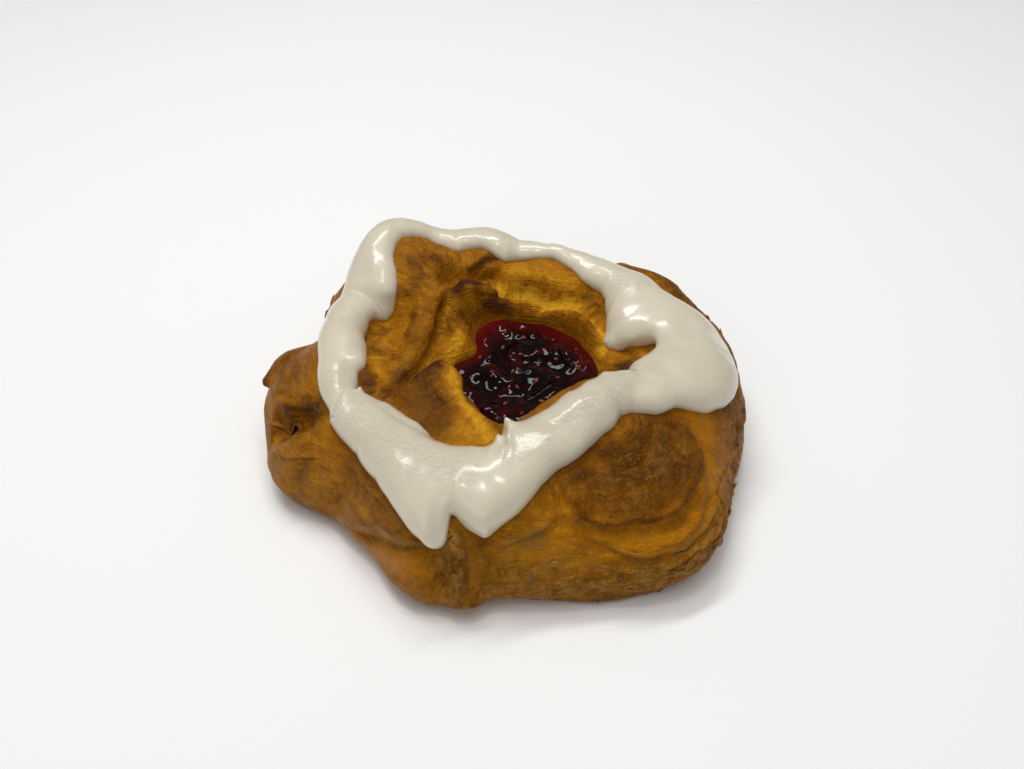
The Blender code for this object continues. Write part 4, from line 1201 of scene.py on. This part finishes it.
def scatter_tree(name, copy, finish, level):
    """Copies of a small shape scattered over a mesh where its named attribute is over a level."""
    tree = bpy.data.node_groups.new(name, "GeometryNodeTree")
    labels = ("Density", "Least Size", "Greatest Size", "Spacing", "Tilt", "Sink")
    for label, kind in (("Geometry", "Geometry"), ("Seed", "Int"), *((label, "Float") for label in labels)):
        tree.interface.new_socket(label, in_out="INPUT", socket_type="NodeSocket" + kind)
    tree.interface.new_socket("Geometry", in_out="OUTPUT", socket_type="NodeSocketGeometry")
    maker = NodeMaker(tree)
    given = {socket.name: Socket(maker, socket) for socket in tree.nodes.new("NodeGroupInput").outputs}
    amount = maker.add("GeometryNodeInputNamedAttribute", {"data_type": "FLOAT"}, {"Name": level[0]})
    high = maker.add("FunctionNodeCompare", {"data_type": "FLOAT", "operation": "GREATER_THAN"},
                     (amount, level[1]))
    spots = maker.add("GeometryNodeDistributePointsOnFaces", {"distribute_method": "POISSON"}, {
        "Mesh": given["Geometry"], "Selection": high, "Density Factor": amount,
        "Density Max": given["Density"], "Distance Min": given["Spacing"], "Seed": given["Seed"]}, "Points")
    shape = maker.add("GeometryNodeObjectInfo", {}, {"Object": copy}, "Geometry")
    tilt, back = given["Tilt"], given["Tilt"] * -1.0
    turn = maker.add("FunctionNodeRandomValue", {"data_type": "FLOAT_VECTOR"}, {
        0: maker.add("ShaderNodeCombineXYZ", {}, (back, back)),
        1: maker.add("ShaderNodeCombineXYZ", {}, (tilt, tilt, FULL_TURN)), "Seed": given["Seed"]})
    size = maker.add("FunctionNodeRandomValue", {"data_type": "FLOAT"},
                     {2: given["Least Size"], 3: given["Greatest Size"]}, 1)
    copies = maker.add("GeometryNodeInstanceOnPoints", {}, {
        "Points": spots, "Instance": shape, "Rotation": spots.beside("Rotation"), "Scale": size})
    copies = maker.add("GeometryNodeRotateInstances", {}, {"Instances": copies, "Rotation": turn})
    copies = maker.add("GeometryNodeTranslateInstances", {}, {
        "Instances": copies, "Translation": maker.add("ShaderNodeCombineXYZ", {}, {2: given["Sink"]})})
    real = maker.add("GeometryNodeRealizeInstances", {}, (copies,))
    painted = maker.add("GeometryNodeSetMaterial", {}, {"Geometry": real, "Material": finish})
    tree.links.new(painted.output, tree.nodes.new("NodeGroupOutput").inputs[0])
    return tree


def scattered(name, base, copy, finish, level, **values):
    """A plain mesh of the copies that a scatter tree puts on the base."""
    tree = scatter_tree(name, copy, finish, level)
    piece = linked(name, base.data.copy())
    spread = piece.modifiers.new("scatter", "NODES")
    spread.node_group = tree
    for item in tree.interface.items_tree:
        key = item.name.lower().replace(" ", "_")
        if item.in_out == "INPUT" and key in values:
            spread[item.identifier] = values[key]
    bake_in(piece)
    if not piece.data.polygons:
        raise RuntimeError(f"{name}: nothing was scattered")
    bpy.data.objects.remove(copy)
    return piece


def seed_shape():
    """A flat almond, pointed at one end."""
    body = bmesh.new()
    bmesh.ops.create_uvsphere(body, u_segments=10, v_segments=7, radius=1.0)
    for vertex in body.verts:
        x, y, z = vertex.co
        vertex.co = Vector((1.05 * x, 0.62 * y * (1 - 0.35 * x), 0.42 * z * (1 - 0.25 * x))) * MM
    mesh = mesh_of("seed", body)
    mesh.shade_smooth()
    return linked("seed", mesh)


FLAKE_SECTION = (  # share of the way out and height, over the leaf, round its rim and back under it
    (0.02, 0.2), (0.5, 0.17), (0.85, 0.09), (1.0, 0.02), (0.97, -0.05), (0.5, 0.08), (0.02, 0.1),
)


def flake_shape(sides=13):
    """A thin domed leaf of crust with a ragged rim."""
    turn = np.linspace(0, 2 * np.pi, sides, endpoint=False)
    rim = 1 + 0.2 * np.sin(2 * turn + 1) + 0.13 * np.sin(3 * turn) + 0.08 * np.sin(5 * turn + 2)
    rings, edges = [], []
    for share, height in FLAKE_SECTION:
        x, y = share * rim * np.cos(turn), 0.72 * share * rim * np.sin(turn)
        rings.append(np.stack([x, y, height + 0.06 * x], axis=1))
        edges.append(np.full(sides, max(0.0, (share - 0.7) / 0.3)))
    piece = mesh_object("flake", np.vstack(rings), tube_faces(len(rings), sides))
    set_attribute(piece.data, "edge", np.concatenate(edges))
    set_attribute(piece.data, "flaky", np.full(len(piece.data.vertices), 0.8))
    piece.data.shade_smooth()
    return piece


# ---------------------------------------------------------------- properties


def amount(name, description, default):
    return FloatProperty(name=name, description=description, default=default, min=0.0)


def count(name, description, default, least):
    return IntProperty(name=name, description=description, default=default, min=least)


def screen_colour(name, description, colour):
    return FloatVectorProperty(name=name, description=description, default=tuple(c / 255 for c in colour),
                               size=3, min=0.0, max=1.0, subtype="COLOR_GAMMA")


class DANISH_PG_crust(bpy.types.PropertyGroup):
    fineness: FloatProperty(name="Fineness", description="Size of the smallest folds that the crust holds",
                            default=0.6 * MM, min=0.3 * MM, max=3 * MM, unit="LENGTH", precision=5)
    baking: FloatProperty(name="Baking", description="How brown the crust is", default=0.47, min=0.0, max=1.0,
                          subtype="FACTOR")
    pale: screen_colour("Pale", "Dough under folds", (206, 150, 30))
    golden: screen_colour("Golden", "Lightly baked crust", (176, 114, 14))
    brown: screen_colour("Brown", "Baked crust", (146, 90, 8))
    deep: screen_colour("Deep", "Well baked crust", (110, 62, 4))
    burnt: screen_colour("Burnt", "Darkest edges", (70, 34, 6))
    gold: screen_colour("Gold", "Smooth golden crust", (170, 104, 2))
    flakes: amount("Flakes", "Loose flakes for each square metre of blistered crust", 260000.0)
    seed: count("Seed", "Where the loose flakes lie", 4, 0)


class DANISH_PG_icing(bpy.types.PropertyGroup):
    columns: count("Columns", "Points round the ring of icing", 720, 60)
    across: count("Across", "Points across the band of icing", 30, 6)
    icing: screen_colour("Icing", "Colour of thick icing", (219, 210, 188))
    icing_shade: screen_colour("Thin Icing", "Colour of thinner icing", (208, 196, 170))


class DANISH_PG_jam(bpy.types.PropertyGroup):
    columns: count("Columns", "Points round the pool of jam", 240, 24)
    rings: count("Rings", "Rings of points across the pool of jam", 110, 8)
    jam: screen_colour("Jam", "Colour of thick jam", (14, 2, 3))
    jam_bright: screen_colour("Thin Jam", "Colour of jam that light passes through", (96, 12, 12))
    seeds: amount("Seeds", "Seeds for each square metre of jam", 60000.0)
    seed: count("Seed", "Where the seeds lie", 7, 0)


class DANISH_PG_stage(bpy.types.PropertyGroup):
    floor: FloatVectorProperty(name="Floor", description="Colour of the floor", default=(0.97, 0.97, 0.96),
                               size=3, min=0.0, max=1.0, subtype="COLOR")
    distance: FloatProperty(name="Camera Distance", description="From the camera to the pastry", default=0.24,
                            min=0.1, unit="LENGTH")
    elevation: FloatProperty(name="Camera Elevation", description="Height of the camera above the table",
                             default=np.radians(42.0), subtype="ANGLE")
    overhead: amount("Overhead Light", "Strength of the broad light above", 5.2)
    key: amount("Key Light", "Strength of the light above the back", 1.5)
    front: amount("Front Light", "Strength of the light at the front", 1.1)
    spark: amount("Spark", "Strength of the small light that glints", 0.3)
    room: amount("Room Light", "Strength of the light from all round", 0.2)


# ---------------------------------------------------------------- operators


def finished(piece, finish, node=None):
    """Give a piece its material, let it ride on the pastry's body and stand for its solid."""
    piece.data.materials.clear()
    piece.data.materials.append(finish)
    piece.data.shade_smooth()
    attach(piece, "root")
    if node:
        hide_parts(node)


class DANISH_OT_crust(bpy.types.Operator):
    """Make the browned, flaky dough"""
    bl_idname = "danish.crust"
    bl_label = "Crust"

    def execute(self, context):
        looks = context.scene.danish_crust
        piece = crust_mesh(looks.fineness / MM)
        finished(piece, crust_material(looks), "dough")
        return {"FINISHED"}


class DANISH_OT_leaves(bpy.types.Operator):
    """Lay the thin leaves of dough on the crust"""
    bl_idname = "danish.leaves"
    bl_label = "Leaves of Dough"

    def execute(self, context):
        finished(leaves_mesh(bpy.data.objects["crust"]), bpy.data.materials["baked_crust"])
        return {"FINISHED"}


class DANISH_OT_flakes(bpy.types.Operator):
    """Scatter loose flakes on the blistered parts of the crust"""
    bl_idname = "danish.flakes"
    bl_label = "Loose Flakes"

    def execute(self, context):
        looks = context.scene.danish_crust
        finish = bpy.data.materials["baked_crust"]
        piece = scattered("loose_flakes", bpy.data.objects["crust"], flake_shape(), finish, ("flaky", 0.3),
                          density=looks.flakes, least_size=0.8, greatest_size=1.9, seed=looks.seed,
                          spacing=1.1 * MM, tilt=0.16, sink=-0.04 * MM)
        points = points_of(piece.data)
        points[:, 2] = np.maximum(points[:, 2], FLAKES_LOWEST)
        move_points(piece.data, points)
        finished(piece, finish)
        return {"FINISHED"}


class DANISH_OT_icing(bpy.types.Operator):
    """Make the ring of icing with its drips, seams and spikes"""
    bl_idname = "danish.icing"
    bl_label = "Icing"

    def execute(self, context):
        looks = context.scene.danish_icing
        piece = icing_mesh(bpy.data.objects["crust"], looks.columns, looks.across)
        finished(piece, icing_material(looks), "icing")
        return {"FINISHED"}


class DANISH_OT_jam(bpy.types.Operator):
    """Make the lumpy, glossy jam"""
    bl_idname = "danish.jam"
    bl_label = "Jam"

    def execute(self, context):
        looks = context.scene.danish_jam
        piece = jam_mesh(looks.columns, looks.rings)
        points, normals = points_of(piece.data), normals_of(piece.data)
        azimuth = azimuth_of(points)
        edge, _ = well_at(azimuth)
        from_middle = np.linalg.norm(points[:, :2] - WELL_CENTRE, axis=1)
        set_attribute(piece.data, "open_jam", (normals[:, 2] > 0.5) & (from_middle < 0.88 * edge))
        at_back = np.clip(0.3 + np.sin(np.radians(azimuth)), 0.1, 1)
        thin = 0.8 * np.clip((from_middle / edge - 0.6) / 0.35, 0, 1) * at_back
        set_attribute(piece.data, "thin", thin)
        finished(piece, jam_material(looks), "jam")
        return {"FINISHED"}


class DANISH_OT_seeds(bpy.types.Operator):
    """Scatter fruit seeds in the jam"""
    bl_idname = "danish.seeds"
    bl_label = "Seeds"

    def execute(self, context):
        looks = context.scene.danish_jam
        finish = seed_material()
        piece = scattered("jam_seeds", bpy.data.objects["jam_pool"], seed_shape(), finish, ("open_jam", 0.5),
                          density=looks.seeds, least_size=0.5, greatest_size=0.8, seed=looks.seed,
                          spacing=4.2 * MM, tilt=0.3, sink=-0.02 * MM)
        finished(piece, finish)
        return {"FINISHED"}


def area_light(name, where, width, depth, power):
    light = bpy.data.lights.new(name, "AREA")
    light.shape = "RECTANGLE"
    light.size, light.size_y, light.energy = width, depth, power
    lamp = linked(name, light)
    lamp.location = where
    lamp.rotation_euler = (Vector(LIGHTS_AIM) - Vector(where)).to_track_quat("-Z", "Y").to_euler()
    return lamp


class DANISH_OT_stage(bpy.types.Operator):
    """Make the floor, the lights and the camera"""
    bl_idname = "danish.stage"
    bl_label = "Stage"

    def execute(self, context):
        looks = context.scene.danish_stage
        scene = context.scene
        body = bmesh.new()
        bmesh.ops.create_grid(body, x_segments=2, y_segments=2, size=FLOOR_HALF)
        floor = linked("floor", mesh_of("floor", body))
        floor.data.materials.append(floor_material(looks))
        overhead = area_light("overhead_light", (0.0, -0.05, 1.1), 1.0, 1.0, looks.overhead)
        overhead.visible_glossy = False
        area_light("key_light", (-0.1, 0.2, 0.62), 0.42, 0.08, looks.key)
        area_light("front_light", (-0.3, -0.8, 0.55), 0.7, 0.7, looks.front)
        area_light("spark_light", (-0.02, -0.06, 0.66), 0.06, 0.06, looks.spark)
        world = bpy.data.worlds.new("room")
        world.use_nodes = True
        sky = world.node_tree.nodes["Background"]
        sky.inputs[0].default_value = ROOM_COLOUR
        sky.inputs[1].default_value = looks.room
        scene.world = world
        lens = bpy.data.cameras.new("camera")
        lens.lens, lens.sensor_width, lens.clip_start = LENS, SENSOR, NEAREST
        camera = linked("camera", lens)
        back = Vector((0, -np.cos(looks.elevation), np.sin(looks.elevation)))
        camera.location = Vector(CAMERA_AIM) * MM + back * looks.distance
        camera.rotation_euler = (-back).to_track_quat("-Z", "Y").to_euler()
        scene.camera = camera
        scene.view_settings.view_transform = "Standard"
        return {"FINISHED"}


class DANISH_PT_panel(bpy.types.Panel):
    """Lists the pieces of the danish pastry"""
    bl_idname = "DANISH_PT_panel"
    bl_label = "Danish Pastry"
    bl_space_type = "VIEW_3D"
    bl_region_type = "UI"
    bl_category = "Danish"

    def draw(self, context):
        scene = context.scene
        for title, looks, makers in (
            ("Crust", scene.danish_crust, ("danish.crust", "danish.leaves", "danish.flakes")),
            ("Icing", scene.danish_icing, ("danish.icing",)),
            ("Jam", scene.danish_jam, ("danish.jam", "danish.seeds")),
            ("Stage", scene.danish_stage, ("danish.stage",)),
        ):
            box = self.layout.box()
            box.label(text=title)
            for name in looks.bl_rna.properties.keys():
                if name not in {"rna_type", "name"}:
                    box.prop(looks, name)
            for maker in makers:
                box.operator(maker)


CLASSES = (
    DANISH_PG_crust, DANISH_PG_icing, DANISH_PG_jam, DANISH_PG_stage,
    DANISH_OT_crust, DANISH_OT_leaves, DANISH_OT_flakes, DANISH_OT_icing, DANISH_OT_jam, DANISH_OT_seeds,
    DANISH_OT_stage, DANISH_PT_panel,
)
GROUPS = {"danish_crust": DANISH_PG_crust, "danish_icing": DANISH_PG_icing, "danish_jam": DANISH_PG_jam,
          "danish_stage": DANISH_PG_stage}


def register():
    for cls in CLASSES:
        bpy.utils.register_class(cls)
    for name, group in GROUPS.items():
        setattr(bpy.types.Scene, name, PointerProperty(type=group))


def unregister():
    for name in GROUPS:
        delattr(bpy.types.Scene, name)
    for cls in reversed(CLASSES):
        bpy.utils.unregister_class(cls)


def main():
    register()
    for step in ("stage", "crust", "leaves", "flakes", "icing", "jam", "seeds"):
        getattr(bpy.ops.danish, step)()


if __name__ == "__main__":
    main()
